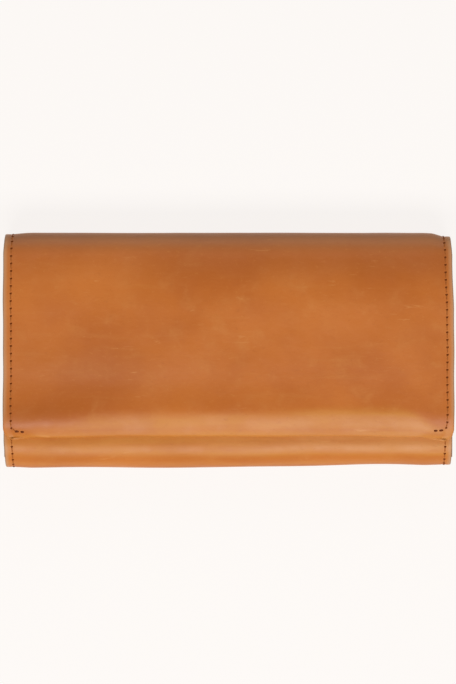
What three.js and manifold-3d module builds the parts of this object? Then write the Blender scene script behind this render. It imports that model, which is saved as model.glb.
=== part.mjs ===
// A long flap wallet in leather, lying closed on its back: +X runs along its length, +Y points to the
// spine that the flap folds over, and +Z is up through its thickness. All sizes are in millimetres.
//
// The hide is one strip in the real wallet: it runs from the front panel round the bottom fold, along
// the back, over the spine and down as the flap. It is cut here where it bends, so that it can move.
// Between front and back hang two bill compartments, and a zipped coin pocket parts them.
import * as THREE from "three";
import { mergeVertices } from "three/addons/utils/BufferGeometryUtils.js";
import Module from "manifold-3d";

const wasm = await Module();
wasm.setup();

// ---- driving sizes -------------------------------------------------------------------------------
const WIDTH = 195; // along X, edge to edge
const HEIGHT = 101; // along Y, bottom fold to spine
const HIDE = 1.3; // outer leather
const LINING = 0.6; // lining leather
const PLY_GAP = 0.1; // clearance between two plies that are sewn together
const COMPARTMENT = 4.5; // clear depth of each bill compartment
const POCKET_PLY = 0.7; // wall of the coin pocket
const POCKET_ROOM = 6; // clear depth of the coin pocket
const STIFFENER = 0.4; // board inside the flap
const SPINE_BEND = 9; // outer radius of the two bends of the spine
const BODY_SHOWN = 12.4; // strip of the body that the closed flap leaves bare
const CORNER_RADIUS = 5.5; // lower corners of the flap
const SNAP_ROOM = 2.3; // between the front panel and the flap's lining, filled by the snap
const BODY_SET_BACK = 0.4; // how far the body's sides stand in from the flap's
const MOUTH_SET_BACK = 8.5; // from the spine's outer face to the mouth of the compartments
const LINING_SET_BACK = 2.6; // from the flap's edge to its lining
const BOARD_SET_BACK = 5.2; // from the flap's side edge to its stiffener
const SEAM_END = 1; // from the end of a panel to the end of its thread

const SEAM_MARGIN = 3.2; // from an edge to the thread beside it
const THREAD = 0.4; // square section of a sewn-in thread
const THREAD_CLEARANCE = 0.1;

const CARD_PLY = 0.5; // one leaf of the card slots
const CARD_ROWS = 3;
const CARD_STEP = 8.5; // each leaf's mouth is this much nearer the spine than the last
const CARD_DEPTH = 41.5; // from a leaf's mouth to its sewn foot
const CARD_FOOT_CLEARANCE = 4; // from the flap's start to the nearest foot
const CARD_SNAP_CLEARANCE = 2; // from the snap to the first mouth
const CARD_MIDDLE = 2; // half the gap between the left and the right leaves
const CARD_SIDE = 3; // how far the leaves stay inside the flap's edge

const SNAP_RADIUS = 5.5;
const SNAP_HEM_CLEARANCE = 1; // from the turned-in hem to the snap
const SNAP_DISC = 0.7; // thickness of the stud's disc
const SNAP_WALL = 0.4; // sheet metal of the socket's cap
const SNAP_LID = 0.3;
const SNAP_BASE = 0.25;
const SNAP_SEAT = 0.55; // how deep the socket is pressed into the hide
const SNAP_POST_CHAMFER = 0.3;
const SNAP_POST_RADIUS = 2;
const SNAP_POST_CLEARANCE = 0.3;
const SNAP_CLEARANCE = 0.1;
const RIVET_RADIUS = 1;
const RIVET_CLEARANCE = 0.2;
const WASHER_RADIUS = 5;
const WASHER = 0.35;

const POCKET_SET_BACK = 6.1; // from the body's side to the coin pocket's
const POCKET_SLOPE = 3; // how far its sides lean in
const POCKET_FLANGE = 0.35;
const POCKET_FLANGE_WIDTH = 3.8;
const POCKET_BOTTOM_CLEARANCE = 4.3; // from the bottom fold's straight edge up to the pocket
const POCKET_BELOW_MOUTH = 11; // from the compartments' mouth down to the pocket's top edge

const TAPE = 0.4; // zip tape
const TAPE_DEPTH = 12; // how far the tape is sewn down into the pocket
const TAPE_END = 4; // tape past the last tooth
const CHAIN_ABOVE_POCKET = 1.5; // from the pocket's top edge to the middle of the teeth
const TOOTH_PITCH = 2.4;
const TOOTH_WIDTH = 0.9;
const TOOTH_HEIGHT = 1.2; // along Y
const TOOTH_REACH = 0.55; // past the middle of the chain
const CHAIN_SET_BACK = 10; // least distance from the pocket's side to the last tooth
const BEAD = 0.4; // cord that the teeth are clamped on
const BEAD_SET_BACK = 1.1; // from the middle of the chain to the bead's outer face
const STOP_LENGTH = 1.5;
const STOP_FROM_MIDDLE = 0.15; // half the gap between the two top stops

const SLIDER_LENGTH = 8;
const SLIDER_SIDE_CLEARANCE = 0.2; // between the slider and the tape's legs
const SLIDER_WING = 0.8;
const SLIDER_CLEARANCE = 0.15; // between a wing and the teeth
const SLIDER_POST_LENGTH = 1.6; // the wedge that parts the teeth
const SLIDER_POST_WIDTH = 1;
const CROWN_LENGTH = 4.4;
const CROWN_WIDTH = 1.2;
const CROWN_BAR = 0.7;
const CROWN_RISE = 1.95;
const PULL_LENGTH = 12;
const PULL_WIDTH = 3.6;
const PULL_THICKNESS = 0.7;
const PULL_LIFT = 0.3; // between the pull and the slider's wing
const PULL_EYE_LENGTH = 2.4;
const PULL_EYE_WIDTH = 1.8;
const PULL_BAR = 0.8;

const GUSSET = 0.5; // gusset leather
const GUSSET_FOLD = 5.2; // how far the pleat folds in between the panels
const GUSSET_FLANGE = 2;
const GUSSET_PLEAT_SHIFT = 0.4; // the pleat folds this much nearer the wall than the pocket
const GUSSET_END = 1; // from the panels' ends to the gusset's


const TURNED_LIMB = 1; // hide that is skived and turned in under the flap's hem
const TURN_IN = 3.1;
const HEM_DROP = 4; // hem's lowest face below the flap's top

const HEM_FLAT = 6; // from the hem's edge to where the flap lies flat

const ROUND_STEPS = 10; // facets in a quarter turn of a leather bend
const SNAP_SIDES = 32;

// ---- levels through the thickness, from the table up ---------------------------------------------
const halfWidth = WIDTH / 2;
const halfHeight = HEIGHT / 2;
const bodyHalfWidth = halfWidth - BODY_SET_BACK;
const wallStack = HIDE + PLY_GAP + LINING;
const bodyDepth = 2 * (wallStack + COMPARTMENT + POCKET_PLY) + POCKET_ROOM;
const pocketMiddle = bodyDepth / 2;
const pocketOuter = POCKET_ROOM / 2 + POCKET_PLY;
const flapLiningLow = bodyDepth + SNAP_ROOM;
const stiffenerLow = flapLiningLow + LINING + PLY_GAP;
const flapHideLow = stiffenerLow + STIFFENER + PLY_GAP;
const depth = flapHideLow + HIDE;

// ---- places along the strip ----------------------------------------------------------------------
const bottomBend = bodyDepth / 2;
const straightLow = -halfHeight + bottomBend; // where the bottom fold meets the straight panels
const straightHigh = halfHeight - SPINE_BEND; // where the spine's bends begin
const mouth = halfHeight - MOUTH_SET_BACK;
const hem = -halfHeight + BODY_SHOWN;
const snapY = hem + TURN_IN + SNAP_HEM_CLEARANCE + SNAP_RADIUS;
const pocketTop = mouth - POCKET_BELOW_MOUTH;
const pocketBottom = straightLow + POCKET_BOTTOM_CLEARANCE;
const chainY = pocketTop + CHAIN_ABOVE_POCKET;
const pocketHalfWidth = bodyHalfWidth - POCKET_SET_BACK;
const toothRows = Math.floor((2 * (pocketHalfWidth - CHAIN_SET_BACK)) / TOOTH_PITCH);
const chainHalf = (TOOTH_PITCH * toothRows) / 2;

// ---- materials -----------------------------------------------------------------------------------
const material = (color, roughness, metalness = 0) =>
  new THREE.MeshStandardMaterial({ color, roughness, metalness });
const tanHide = material(0xc0703a, 0.5);
const tanLining = material(0xb87a4c, 0.75);
const boardGrey = material(0x8d8478, 0.9);
const threadBrown = material(0x6b3410, 0.7);
const zipCloth = material(0x5a3a22, 0.85);
const zipBrass = material(0xb08d4a, 0.35, 1);
const snapBrass = material(0xb89a5e, 0.3, 1);
const magnetSteel = material(0x6f7174, 0.45, 1);

// ---- shape helpers -------------------------------------------------------------------------------
const wallet = new THREE.Group();

function addMesh(name, geometry, meshMaterial) {
  const mesh = new THREE.Mesh(geometry, meshMaterial);
  mesh.name = name;
  wallet.add(mesh);
}

/** A box between two corners, each [x, y, z]. */
function block(low, high) {
  const size = high.map((v, i) => v - low[i]);
  const middle = high.map((v, i) => (v + low[i]) / 2);
  return new THREE.BoxGeometry(...size).translate(...middle);
}

/** Extrudes an outline of [x, y] points, or a THREE.Shape, up from z = low to z = high. */
function risen(outline, low, high) {
  const isShape = outline instanceof THREE.Shape;
  const shape = isShape ? outline : new THREE.Shape(outline.map((p) => new THREE.Vector2(...p)));
  const geometry = new THREE.ExtrudeGeometry(shape, {
    depth: high - low,
    bevelEnabled: false,
    curveSegments: ROUND_STEPS,
  });
  return geometry.translate(0, 0, low);
}

/** Extrudes an outline of [y, z] points along X, from low to high. */
function acrossX(outline, low, high) {
  const geometry = risen(outline, low, high);
  const axes = new THREE.Matrix4().makeBasis(
    new THREE.Vector3(0, 1, 0),
    new THREE.Vector3(0, 0, 1),
    new THREE.Vector3(1, 0, 0),
  );
  return geometry.applyMatrix4(axes);
}

/** Extrudes an outline of [z, x] points along Y, from low to high. */
function alongY(outline, low, high) {
  const geometry = risen(outline, low, high);
  const axes = new THREE.Matrix4().makeBasis(
    new THREE.Vector3(0, 0, 1),
    new THREE.Vector3(1, 0, 0),
    new THREE.Vector3(0, 1, 0),
  );
  return geometry.applyMatrix4(axes);
}

/** Turns a profile of [radius, z] points round the snap's upright axis. */
function turned(profile) {
  const points = [...profile, profile[0]].map((p) => new THREE.Vector2(...p));
  const geometry = new THREE.LatheGeometry(points, SNAP_SIDES);
  return geometry.rotateX(Math.PI / 2).translate(0, snapY, 0);
}

/** Points on an arc, as [y, z], from one angle to another in degrees. */
function arc(centreY, centreZ, radius, from, to) {
  const steps = Math.ceil((Math.abs(to - from) / 90) * ROUND_STEPS);
  return Array.from({ length: steps + 1 }, (_, i) => {
    const angle = ((from + ((to - from) * i) / steps) * Math.PI) / 180;
    return [centreY + radius * Math.cos(angle), centreZ + radius * Math.sin(angle)];
  });
}

function solidOf(geometry) {
  const bare = geometry.clone();
  bare.deleteAttribute("normal");
  bare.deleteAttribute("uv");
  const merged = mergeVertices(bare, 1e-4);
  const solid = new wasm.Manifold(
    new wasm.Mesh({
      numProp: 3,
      vertProperties: new Float32Array(merged.attributes.position.array),
      triVerts: new Uint32Array(merged.index.array),
    }),
  );
  if (solid.volume() > 0) return solid;
  const turnedOut = merged.index.array.map((_, i, all) => all[i - (i % 3) + [0, 2, 1][i % 3]]);
  return new wasm.Manifold(
    new wasm.Mesh({
      numProp: 3,
      vertProperties: new Float32Array(merged.attributes.position.array),
      triVerts: new Uint32Array(turnedOut),
    }),
  );
}

function geometryOf(solid) {
  const mesh = solid.getMesh();
  const places = new Float32Array(mesh.numVert * 3);
  for (let i = 0; i < mesh.numVert; i++) {
    places.set(mesh.vertProperties.subarray(i * mesh.numProp, i * mesh.numProp + 3), i * 3);
  }
  const geometry = new THREE.BufferGeometry();
  geometry.setAttribute("position", new THREE.BufferAttribute(places, 3));
  geometry.setIndex(new THREE.BufferAttribute(mesh.triVerts, 1));
  return geometry;
}

/** Joins the geometries in parts, then cuts away those in cuts. */
function carved(parts, cuts = []) {
  const whole = parts.map(solidOf).reduce((a, b) => a.add(b));
  return geometryOf(cuts.map(solidOf).reduce((a, b) => a.subtract(b), whole));
}

/** A ring on the snap's axis, lying flat between two levels. */
function ring(innerRadius, outerRadius, low, high) {
  return turned([[innerRadius, low], [outerRadius, low], [outerRadius, high], [innerRadius, high]]);
}

function disc(radius, low, high) {
  return ring(0, radius, low, high);
}

// ---- sewn-in threads -----------------------------------------------------------------------------
// Each straight seam is one thread lying in a groove that is pressed into the hide.
const threadHalf = THREAD / 2;
const grooveHalf = threadHalf + THREAD_CLEARANCE;
const grooveDepth = THREAD + THREAD_CLEARANCE;

/** The groove and the thread of a seam along Y, in a face at z = face whose outside is up or down. */
function seam(x, lowY, highY, face, outside) {
  const bed = face - outside * grooveDepth;
  const past = face + outside;
  const groove = block(
    [x - grooveHalf, lowY, Math.min(bed, past)],
    [x + grooveHalf, highY, Math.max(bed, past)],
  );
  const threadBed = bed + outside * THREAD_CLEARANCE;
  const threadFace = threadBed + outside * (THREAD - THREAD_CLEARANCE / 2);
  const thread = block(
    [x - threadHalf, lowY + THREAD_CLEARANCE, Math.min(threadBed, threadFace)],
    [x + threadHalf, highY - THREAD_CLEARANCE, Math.max(threadBed, threadFace)],
  );
  return { groove, thread };
}

/** Adds a hide panel with a threaded groove beside its left and its right edge. */
function addSewnPanel(name, panel, cuts, edge, [lowY, highY], face, outside) {
  const left = seam(-edge + SEAM_MARGIN, lowY + SEAM_END, highY - SEAM_END, face, outside);
  const right = seam(edge - SEAM_MARGIN, lowY + SEAM_END, highY - SEAM_END, face, outside);
  addMesh(name + "_panel", carved([panel], [left.groove, right.groove, ...cuts]), tanHide);
  addMesh(name + "_thread_left", left.thread, threadBrown);
  addMesh(name + "_thread_right", right.thread, threadBrown);
}

// ---- back wall and bottom fold -------------------------------------------------------------------
function addBack() {
  const low = straightLow + PLY_GAP;
  const high = straightHigh - PLY_GAP;
  const panel = block([-bodyHalfWidth, low, 0], [bodyHalfWidth, high, HIDE]);
  addSewnPanel("back", panel, [], bodyHalfWidth, [low, high], 0, -1);
  addMesh(
    "back_lining",
    block([-bodyHalfWidth, low, HIDE + PLY_GAP], [bodyHalfWidth, high, wallStack]),
    tanLining,
  );
  const outer = arc(straightLow, bottomBend, bottomBend, 270, 90);
  const inner = arc(straightLow, bottomBend, bottomBend - HIDE, 90, 270);
  addMesh("bottom_fold", acrossX([...outer, ...inner], -bodyHalfWidth, bodyHalfWidth), tanHide);
}

// ---- front wall ----------------------------------------------------------------------------------
const frontHideLow = bodyDepth - HIDE;
const frontLiningLow = bodyDepth - wallStack;
const socketLow = bodyDepth - SNAP_SEAT + SNAP_CLEARANCE;
const socketHigh = flapLiningLow - SNAP_DISC - 3 * SNAP_CLEARANCE; // clear of the stud's disc
const PAST = 1; // how far a cut runs past the face that it opens

function addFront() {
  const low = straightLow + PLY_GAP;
  const panel = block([-bodyHalfWidth, low, frontHideLow], [bodyHalfWidth, mouth, bodyDepth]);
  const washerHigh = frontHideLow + WASHER + SNAP_CLEARANCE;
  const cuts = [
    disc(SNAP_RADIUS + SNAP_CLEARANCE, bodyDepth - SNAP_SEAT, bodyDepth + PAST),
    disc(WASHER_RADIUS + SNAP_CLEARANCE, frontHideLow - PAST, washerHigh),
    disc(RIVET_RADIUS + RIVET_CLEARANCE, frontHideLow - PAST, bodyDepth + PAST),
  ];
  addSewnPanel("front", panel, cuts, bodyHalfWidth, [low, mouth], bodyDepth, 1);
  addMesh(
    "front_lining",
    block([-bodyHalfWidth, low, frontLiningLow], [bodyHalfWidth, mouth, frontLiningLow + LINING]),
    tanLining,
  );
}

// ---- magnetic snap -------------------------------------------------------------------------------
function addSnapSocket() {
  const boreRadius = SNAP_POST_RADIUS + SNAP_POST_CLEARANCE;
  const tubeRadius = boreRadius + SNAP_WALL;
  const rimRadius = SNAP_RADIUS - SNAP_WALL;
  const ringInner = tubeRadius + SNAP_CLEARANCE;
  const ringOuter = rimRadius - SNAP_CLEARANCE;
  const baseHigh = socketLow + SNAP_BASE;
  const tubeLow = baseHigh + SNAP_CLEARANCE;
  const lidLow = socketHigh - SNAP_LID;
  const cap = [
    [boreRadius, tubeLow],
    [tubeRadius, tubeLow],
    [tubeRadius, lidLow],
    [rimRadius, lidLow],
    [rimRadius, socketLow],
    [SNAP_RADIUS, socketLow],
    [SNAP_RADIUS, socketHigh],
    [boreRadius, socketHigh],
  ];
  addMesh("snap_socket_cap", turned(cap), snapBrass);
  addMesh("snap_magnet", ring(ringInner, ringOuter, tubeLow, lidLow - SNAP_CLEARANCE), magnetSteel);
  const rivetLow = frontHideLow + SNAP_CLEARANCE / 2;
  const base = [
    [0, rivetLow],
    [RIVET_RADIUS, rivetLow],
    [RIVET_RADIUS, socketLow],
    [ringOuter, socketLow],
    [ringOuter, baseHigh],
    [0, baseHigh],
  ];
  addMesh("snap_socket_base", turned(base), magnetSteel);
  addMesh(
    "snap_socket_washer",
    ring(RIVET_RADIUS + RIVET_CLEARANCE, WASHER_RADIUS, rivetLow, rivetLow + WASHER),
    magnetSteel,
  );
}

function addSnapStud() {
  const discHigh = flapLiningLow - SNAP_CLEARANCE;
  const discLow = discHigh - SNAP_DISC;
  const tip = socketLow + SNAP_BASE + 2 * SNAP_CLEARANCE;
  const rivetHigh = stiffenerLow + WASHER - SNAP_CLEARANCE / 2;
  const stud = [
    [0, tip],
    [SNAP_POST_RADIUS - SNAP_POST_CHAMFER, tip],
    [SNAP_POST_RADIUS, tip + SNAP_POST_CHAMFER],
    [SNAP_POST_RADIUS, discLow],
    [SNAP_RADIUS, discLow],
    [SNAP_RADIUS, discHigh],
    [RIVET_RADIUS, discHigh],
    [RIVET_RADIUS, rivetHigh],
    [0, rivetHigh],
  ];
  addMesh("snap_stud", turned(stud), snapBrass);
  addMesh(
    "snap_stud_washer",
    ring(RIVET_RADIUS + RIVET_CLEARANCE, WASHER_RADIUS, stiffenerLow, stiffenerLow + WASHER),
    magnetSteel,
  );
}

// ---- coin pocket ---------------------------------------------------------------------------------
/** Half of the coin pocket: side -1 is its rear wall and +1 its front wall. */
function pocketHalf(side) {
  const z = (fromMiddle) => pocketMiddle + side * fromMiddle;
  const seamFace = PLY_GAP / 2;
  const flange = seamFace + POCKET_FLANGE;
  const inside = POCKET_ROOM / 2;
  const flangeX = pocketHalfWidth + POCKET_FLANGE_WIDTH;
  const slopeX = pocketHalfWidth - POCKET_SLOPE;
  const halfOutline = [
    [z(seamFace), pocketHalfWidth - POCKET_PLY],
    [z(seamFace), flangeX],
    [z(flange), flangeX],
    [z(flange), pocketHalfWidth],
    [z(pocketOuter), slopeX],
  ];
  const innerCorner = [z(inside), slopeX - POCKET_PLY];
  const outline = [
    innerCorner,
    ...halfOutline,
    ...halfOutline.map(([a, x]) => [a, -x]).reverse(),
    [innerCorner[0], -innerCorner[1]],
  ];
  const walls = alongY(outline, pocketBottom, pocketTop);
  const foot = [
    [z(seamFace), pocketHalfWidth],
    [z(pocketOuter), slopeX],
    [z(pocketOuter), -slopeX],
    [z(seamFace), -pocketHalfWidth],
  ];
  return carved([walls, alongY(foot, pocketBottom, pocketBottom + POCKET_PLY)]);
}

function addCoinPocket() {
  addMesh("coin_pocket_rear", pocketHalf(-1), tanLining);
  addMesh("coin_pocket_front", pocketHalf(1), tanLining);
}

// ---- zip -----------------------------------------------------------------------------------------
/** One side of the zip: side -1 is sewn to the pocket's rear wall and +1 to its front wall. */
function addZipSide(name, side) {
  const z = (fromMiddle) => pocketMiddle + side * fromMiddle;
  const outside = POCKET_ROOM / 2 - PLY_GAP;
  const inside = outside - TAPE;
  const webEnd = BEAD_SET_BACK + PLY_GAP;
  const tape = [
    [chainY - TAPE_DEPTH, z(outside)],
    [chainY + TAPE / 2, z(outside)],
    [chainY + TAPE / 2, z(webEnd)],
    [chainY - TAPE / 2, z(webEnd)],
    [chainY - TAPE / 2, z(inside)],
    [chainY - TAPE_DEPTH, z(inside)],
  ];
  const tapeHalf = chainHalf + TAPE_END;
  addMesh("zip_tape_" + name, carved([acrossX(tape, -tapeHalf, tapeHalf)]), zipCloth);

  // The two rows of teeth are half a pitch apart, so that they mesh.
  const firstTooth = -chainHalf + TOOTH_PITCH / 2 + (side * TOOTH_PITCH) / 4;
  const beadInner = z(BEAD_SET_BACK - BEAD);
  const comb = [[-chainHalf, z(BEAD_SET_BACK)], [-chainHalf, beadInner]];
  for (let i = 0; i < toothRows; i++) {
    const start = firstTooth + i * TOOTH_PITCH - TOOTH_WIDTH / 2;
    const end = start + TOOTH_WIDTH;
    comb.push([start, beadInner], [start, z(-TOOTH_REACH)], [end, z(-TOOTH_REACH)], [end, beadInner]);
  }
  comb.push([chainHalf, beadInner], [chainHalf, z(BEAD_SET_BACK)]);
  const flat = risen(comb, chainY - TOOTH_HEIGHT / 2, chainY + TOOTH_HEIGHT / 2);
  const standing = new THREE.Matrix4().makeBasis(
    new THREE.Vector3(1, 0, 0),
    new THREE.Vector3(0, 0, 1),
    new THREE.Vector3(0, 1, 0),
  );
  addMesh("zip_teeth_" + name, carved([flat.applyMatrix4(standing)]), zipBrass);
}

function addZipStops() {
  const low = chainY - TOOTH_HEIGHT / 2;
  const high = chainY + TOOTH_HEIGHT / 2;
  const start = chainHalf + PLY_GAP;
  const topStart = start + SLIDER_POST_LENGTH + PLY_GAP; // past the slider when it is closed
  for (const [name, side] of [["rear", -1], ["front", 1]]) {
    const middle = pocketMiddle + (side * (STOP_FROM_MIDDLE + BEAD_SET_BACK)) / 2;
    const half = (BEAD_SET_BACK - STOP_FROM_MIDDLE) / 2;
    addMesh(
      "zip_top_stop_" + name,
      block([topStart, low, middle - half], [topStart + STOP_LENGTH, high, middle + half]),
      zipBrass,
    );
  }
  addMesh(
    "zip_bottom_stop",
    block(
      [-start - STOP_LENGTH, low, pocketMiddle - BEAD_SET_BACK],
      [-start, high, pocketMiddle + BEAD_SET_BACK],
    ),
    zipBrass,
  );
}

const sliderX = chainHalf - SLIDER_LENGTH / 2 + SLIDER_POST_LENGTH + PLY_GAP;
const wingLow = chainY + TOOTH_HEIGHT / 2 + SLIDER_CLEARANCE;
const wingHigh = wingLow + SLIDER_WING;
const pullLow = wingHigh + PULL_LIFT;
const sliderHalfWidth = POCKET_ROOM / 2 - PLY_GAP - TAPE - SLIDER_SIDE_CLEARANCE;

function addZipSlider() {
  const halfLength = SLIDER_LENGTH / 2;
  const lowZ = pocketMiddle - sliderHalfWidth;
  const highZ = pocketMiddle + sliderHalfWidth;
  const under = 2 * chainY - wingLow;
  const topWing = block([sliderX - halfLength, wingLow, lowZ], [sliderX + halfLength, wingHigh, highZ]);
  const bottomWing = block(
    [sliderX - halfLength, under - SLIDER_WING, lowZ],
    [sliderX + halfLength, under, highZ],
  );
  const post = block(
    [sliderX + halfLength - SLIDER_POST_LENGTH, under - SLIDER_WING, pocketMiddle - SLIDER_POST_WIDTH / 2],
    [sliderX + halfLength, wingHigh, pocketMiddle + SLIDER_POST_WIDTH / 2],
  );
  const crown = block(
    [sliderX - CROWN_LENGTH / 2, wingHigh - SLIDER_WING / 2, pocketMiddle - CROWN_WIDTH / 2],
    [sliderX + CROWN_LENGTH / 2, wingHigh + CROWN_RISE, pocketMiddle + CROWN_WIDTH / 2],
  );
  const eye = block(
    [sliderX - CROWN_LENGTH / 2 + CROWN_BAR, wingHigh, pocketMiddle - CROWN_WIDTH],
    [sliderX + CROWN_LENGTH / 2 - CROWN_BAR, wingHigh + CROWN_RISE - CROWN_BAR, pocketMiddle + CROWN_WIDTH],
  );
  addMesh("zip_slider", carved([topWing, bottomWing, post, carved([crown], [eye])]), zipBrass);
}

/** The pull turns about a bar that passes under the slider's crown. */
function addZipPull() {
  const barEnd = sliderX + PULL_BAR / 2;
  const high = pullLow + PULL_THICKNESS;
  const plate = block(
    [barEnd - PULL_LENGTH, pullLow, pocketMiddle - PULL_WIDTH / 2],
    [barEnd, high, pocketMiddle + PULL_WIDTH / 2],
  );
  const eye = block(
    [barEnd - PULL_BAR - PULL_EYE_LENGTH, pullLow - PAST, pocketMiddle - PULL_EYE_WIDTH / 2],
    [barEnd - PULL_BAR, high + PAST, pocketMiddle + PULL_EYE_WIDTH / 2],
  );
  addMesh("zip_pull", carved([plate], [eye]), zipBrass);
}

// ---- side gussets --------------------------------------------------------------------------------
/** A pleat that closes one side of one compartment. sideX is -1 or 1; sideZ -1 is the rear one. */
function addGusset(name, sideX, sideZ) {
  const wall = bodyDepth / 2 - wallStack - PLY_GAP; // from the pocket's middle to the wall's inner face
  const outerX = bodyHalfWidth - PLY_GAP;
  const pleatX = outerX - GUSSET_FLANGE - GUSSET_FOLD;
  const pocketEdge = pocketHalfWidth + POCKET_FLANGE_WIDTH - PLY_GAP;
  const pocketFace = PLY_GAP / 2 + POCKET_FLANGE + PLY_GAP;
  const middle = (wall + pocketFace) / 2 + GUSSET_PLEAT_SHIFT;
  const place = (x, fromMiddle) => [pocketMiddle + sideZ * fromMiddle, sideX * x];
  const outline = [
    place(outerX, wall),
    place(outerX, wall - GUSSET),
    place(outerX - GUSSET_FLANGE, wall - GUSSET),
    place(pleatX + GUSSET, middle),
    place(pocketEdge, pocketFace + GUSSET),
    place(pocketEdge, pocketFace),
    place(pocketEdge - GUSSET_FLANGE / 2, pocketFace),
    place(pleatX, middle),
    place(outerX - GUSSET_FLANGE - GUSSET / 2, wall),
  ];
  addMesh(name, carved([alongY(outline, straightLow + GUSSET_END, mouth - GUSSET_END)]), tanLining);
}

function addGussets() {
  for (const [side, sideX] of [["left", -1], ["right", 1]]) {
    addGusset("gusset_rear_" + side, sideX, -1);
    addGusset("gusset_front_" + side, sideX, 1);
  }
}

// ---- spine ---------------------------------------------------------------------------------------
/** A ply of the spine, bent twice, whose outer face is inset by that much. */
function spinePly(inset, thickness, halfLength) {
  const outer = SPINE_BEND - inset;
  const inner = outer - thickness;
  const highCentre = depth - SPINE_BEND;
  const outline = [
    ...arc(straightHigh, SPINE_BEND, outer, 270, 360),
    ...arc(straightHigh, highCentre, outer, 0, 90),
    ...arc(straightHigh, highCentre, inner, 90, 0),
    ...arc(straightHigh, SPINE_BEND, inner, 360, 270),
  ];
  return acrossX(outline, -halfLength, halfLength);
}

function addSpine() {
  addMesh("spine_panel", spinePly(0, HIDE, halfWidth), tanHide);
  addMesh("spine_lining", spinePly(HIDE + PLY_GAP, LINING, halfWidth - PLY_GAP), tanLining);
}

// ---- flap ----------------------------------------------------------------------------------------
const flapTop = straightHigh - PLY_GAP;

/** A plate with the flap's plan shape: square at the spine and rounded at the hem. */
function flapPlate(inset, low, high) {
  const x = halfWidth - inset;
  const r = CORNER_RADIUS;
  const bottom = hem + inset;
  const shape = new THREE.Shape();
  shape.moveTo(-x, flapTop);
  shape.lineTo(-x, bottom + r);
  shape.absarc(-x + r, bottom + r, r, Math.PI, 1.5 * Math.PI, false);
  shape.lineTo(x - r, bottom);
  shape.absarc(x - r, bottom + r, r, 1.5 * Math.PI, 2 * Math.PI, false);
  shape.lineTo(x, flapTop);
  shape.closePath();
  return risen(shape, low, high);
}

/** The flap's hide in section, drooping to a hem that is turned in underneath. */
function flapSection() {
  const flat = hem + HEM_FLAT;
  const low = depth - HEM_DROP;
  const limb = low + TURNED_LIMB;
  const outside = [
    [flapTop, depth],
    [flat, depth],
    [hem + 0.5 * HEM_FLAT, depth - 0.1 * HEM_DROP],
    [hem + 0.2 * HEM_FLAT, depth - 0.3 * HEM_DROP],
    [hem, depth - 0.65 * HEM_DROP],
    [hem + 0.05 * HEM_FLAT, low + 0.1 * HEM_DROP],
    [hem + 0.2 * HEM_FLAT, low],
    [hem + TURN_IN, low],
  ];
  const inside = [
    [hem + TURN_IN, limb],
    [hem + HIDE + PLY_GAP, limb + PLY_GAP],
    [hem + HIDE + PLY_GAP, flapHideLow - 0.25 * HEM_DROP],
    [hem + 0.4 * HEM_FLAT, flapHideLow - 0.1 * HEM_DROP],
    [flat, flapHideLow],
    [flapTop, flapHideLow],
  ];
  return [...outside, ...inside];
}

function addFlap() {
  const section = solidOf(acrossX(flapSection(), -halfWidth, halfWidth));
  const plan = solidOf(flapPlate(0, 0, 2 * depth));
  const hide = geometryOf(section.intersect(plan));
  addSewnPanel("flap", hide, [], halfWidth, [hem + CORNER_RADIUS + SEAM_END, flapTop], depth, 1);

  const boardEdge = halfWidth - BOARD_SET_BACK;
  const boardHigh = stiffenerLow + STIFFENER;
  addMesh(
    "flap_stiffener",
    carved(
      [block([-boardEdge, hem + HEM_FLAT, stiffenerLow], [boardEdge, flapTop - SEAM_END, boardHigh])],
      [disc(WASHER_RADIUS + SNAP_CLEARANCE, stiffenerLow - PAST, boardHigh + PAST)],
    ),
    boardGrey,
  );
  const liningHigh = flapLiningLow + LINING;
  addMesh(
    "flap_lining",
    carved(
      [flapPlate(LINING_SET_BACK, flapLiningLow, liningHigh)],
      [disc(RIVET_RADIUS + RIVET_CLEARANCE, flapLiningLow - PAST, liningHigh + PAST)],
    ),
    tanLining,
  );
}

/** The card slots: leaves stacked under the lining on each side, the one with the lowest mouth on top. */
function addCardLeaves() {
  const outer = halfWidth - CARD_SIDE;
  const lastFoot = flapTop - CARD_FOOT_CLEARANCE;
  for (let row = 0; row < CARD_ROWS; row++) {
    const high = flapLiningLow - PLY_GAP - row * (CARD_PLY + PLY_GAP);
    const low = high - CARD_PLY;
    const mouthY = snapY + SNAP_RADIUS + CARD_SNAP_CLEARANCE + row * CARD_STEP;
    const foot = Math.min(mouthY + CARD_DEPTH, lastFoot);
    const leaf = row + 1;
    addMesh("card_leaf_left_" + leaf, block([-outer, mouthY, low], [-CARD_MIDDLE, foot, high]), tanLining);
    addMesh("card_leaf_right_" + leaf, block([CARD_MIDDLE, mouthY, low], [outer, foot, high]), tanLining);
  }
}

addBack();
addFront();
addSnapSocket();
addSnapStud();
addCoinPocket();
addZipSide("rear", -1);
addZipSide("front", 1);
addZipStops();
addZipSlider();
addZipPull();
addGussets();
addSpine();
addFlap();
addCardLeaves();

export default wallet;
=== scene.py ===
"""A long flap wallet in waxed tan leather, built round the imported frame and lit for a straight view.

The cover is one strip of hide. It starts at the mouth of the front panel and runs round the bottom fold,
along the back, over the spine and down the flap to a hem that is rolled under. A place on it is (x, s):
x across the wallet and s along the strip. Everything sewn to the hide is placed by the same two numbers.
Lengths are in metres, and in millimetres where a comment says so.
"""
import math
from collections import namedtuple
from contextlib import contextmanager

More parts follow.
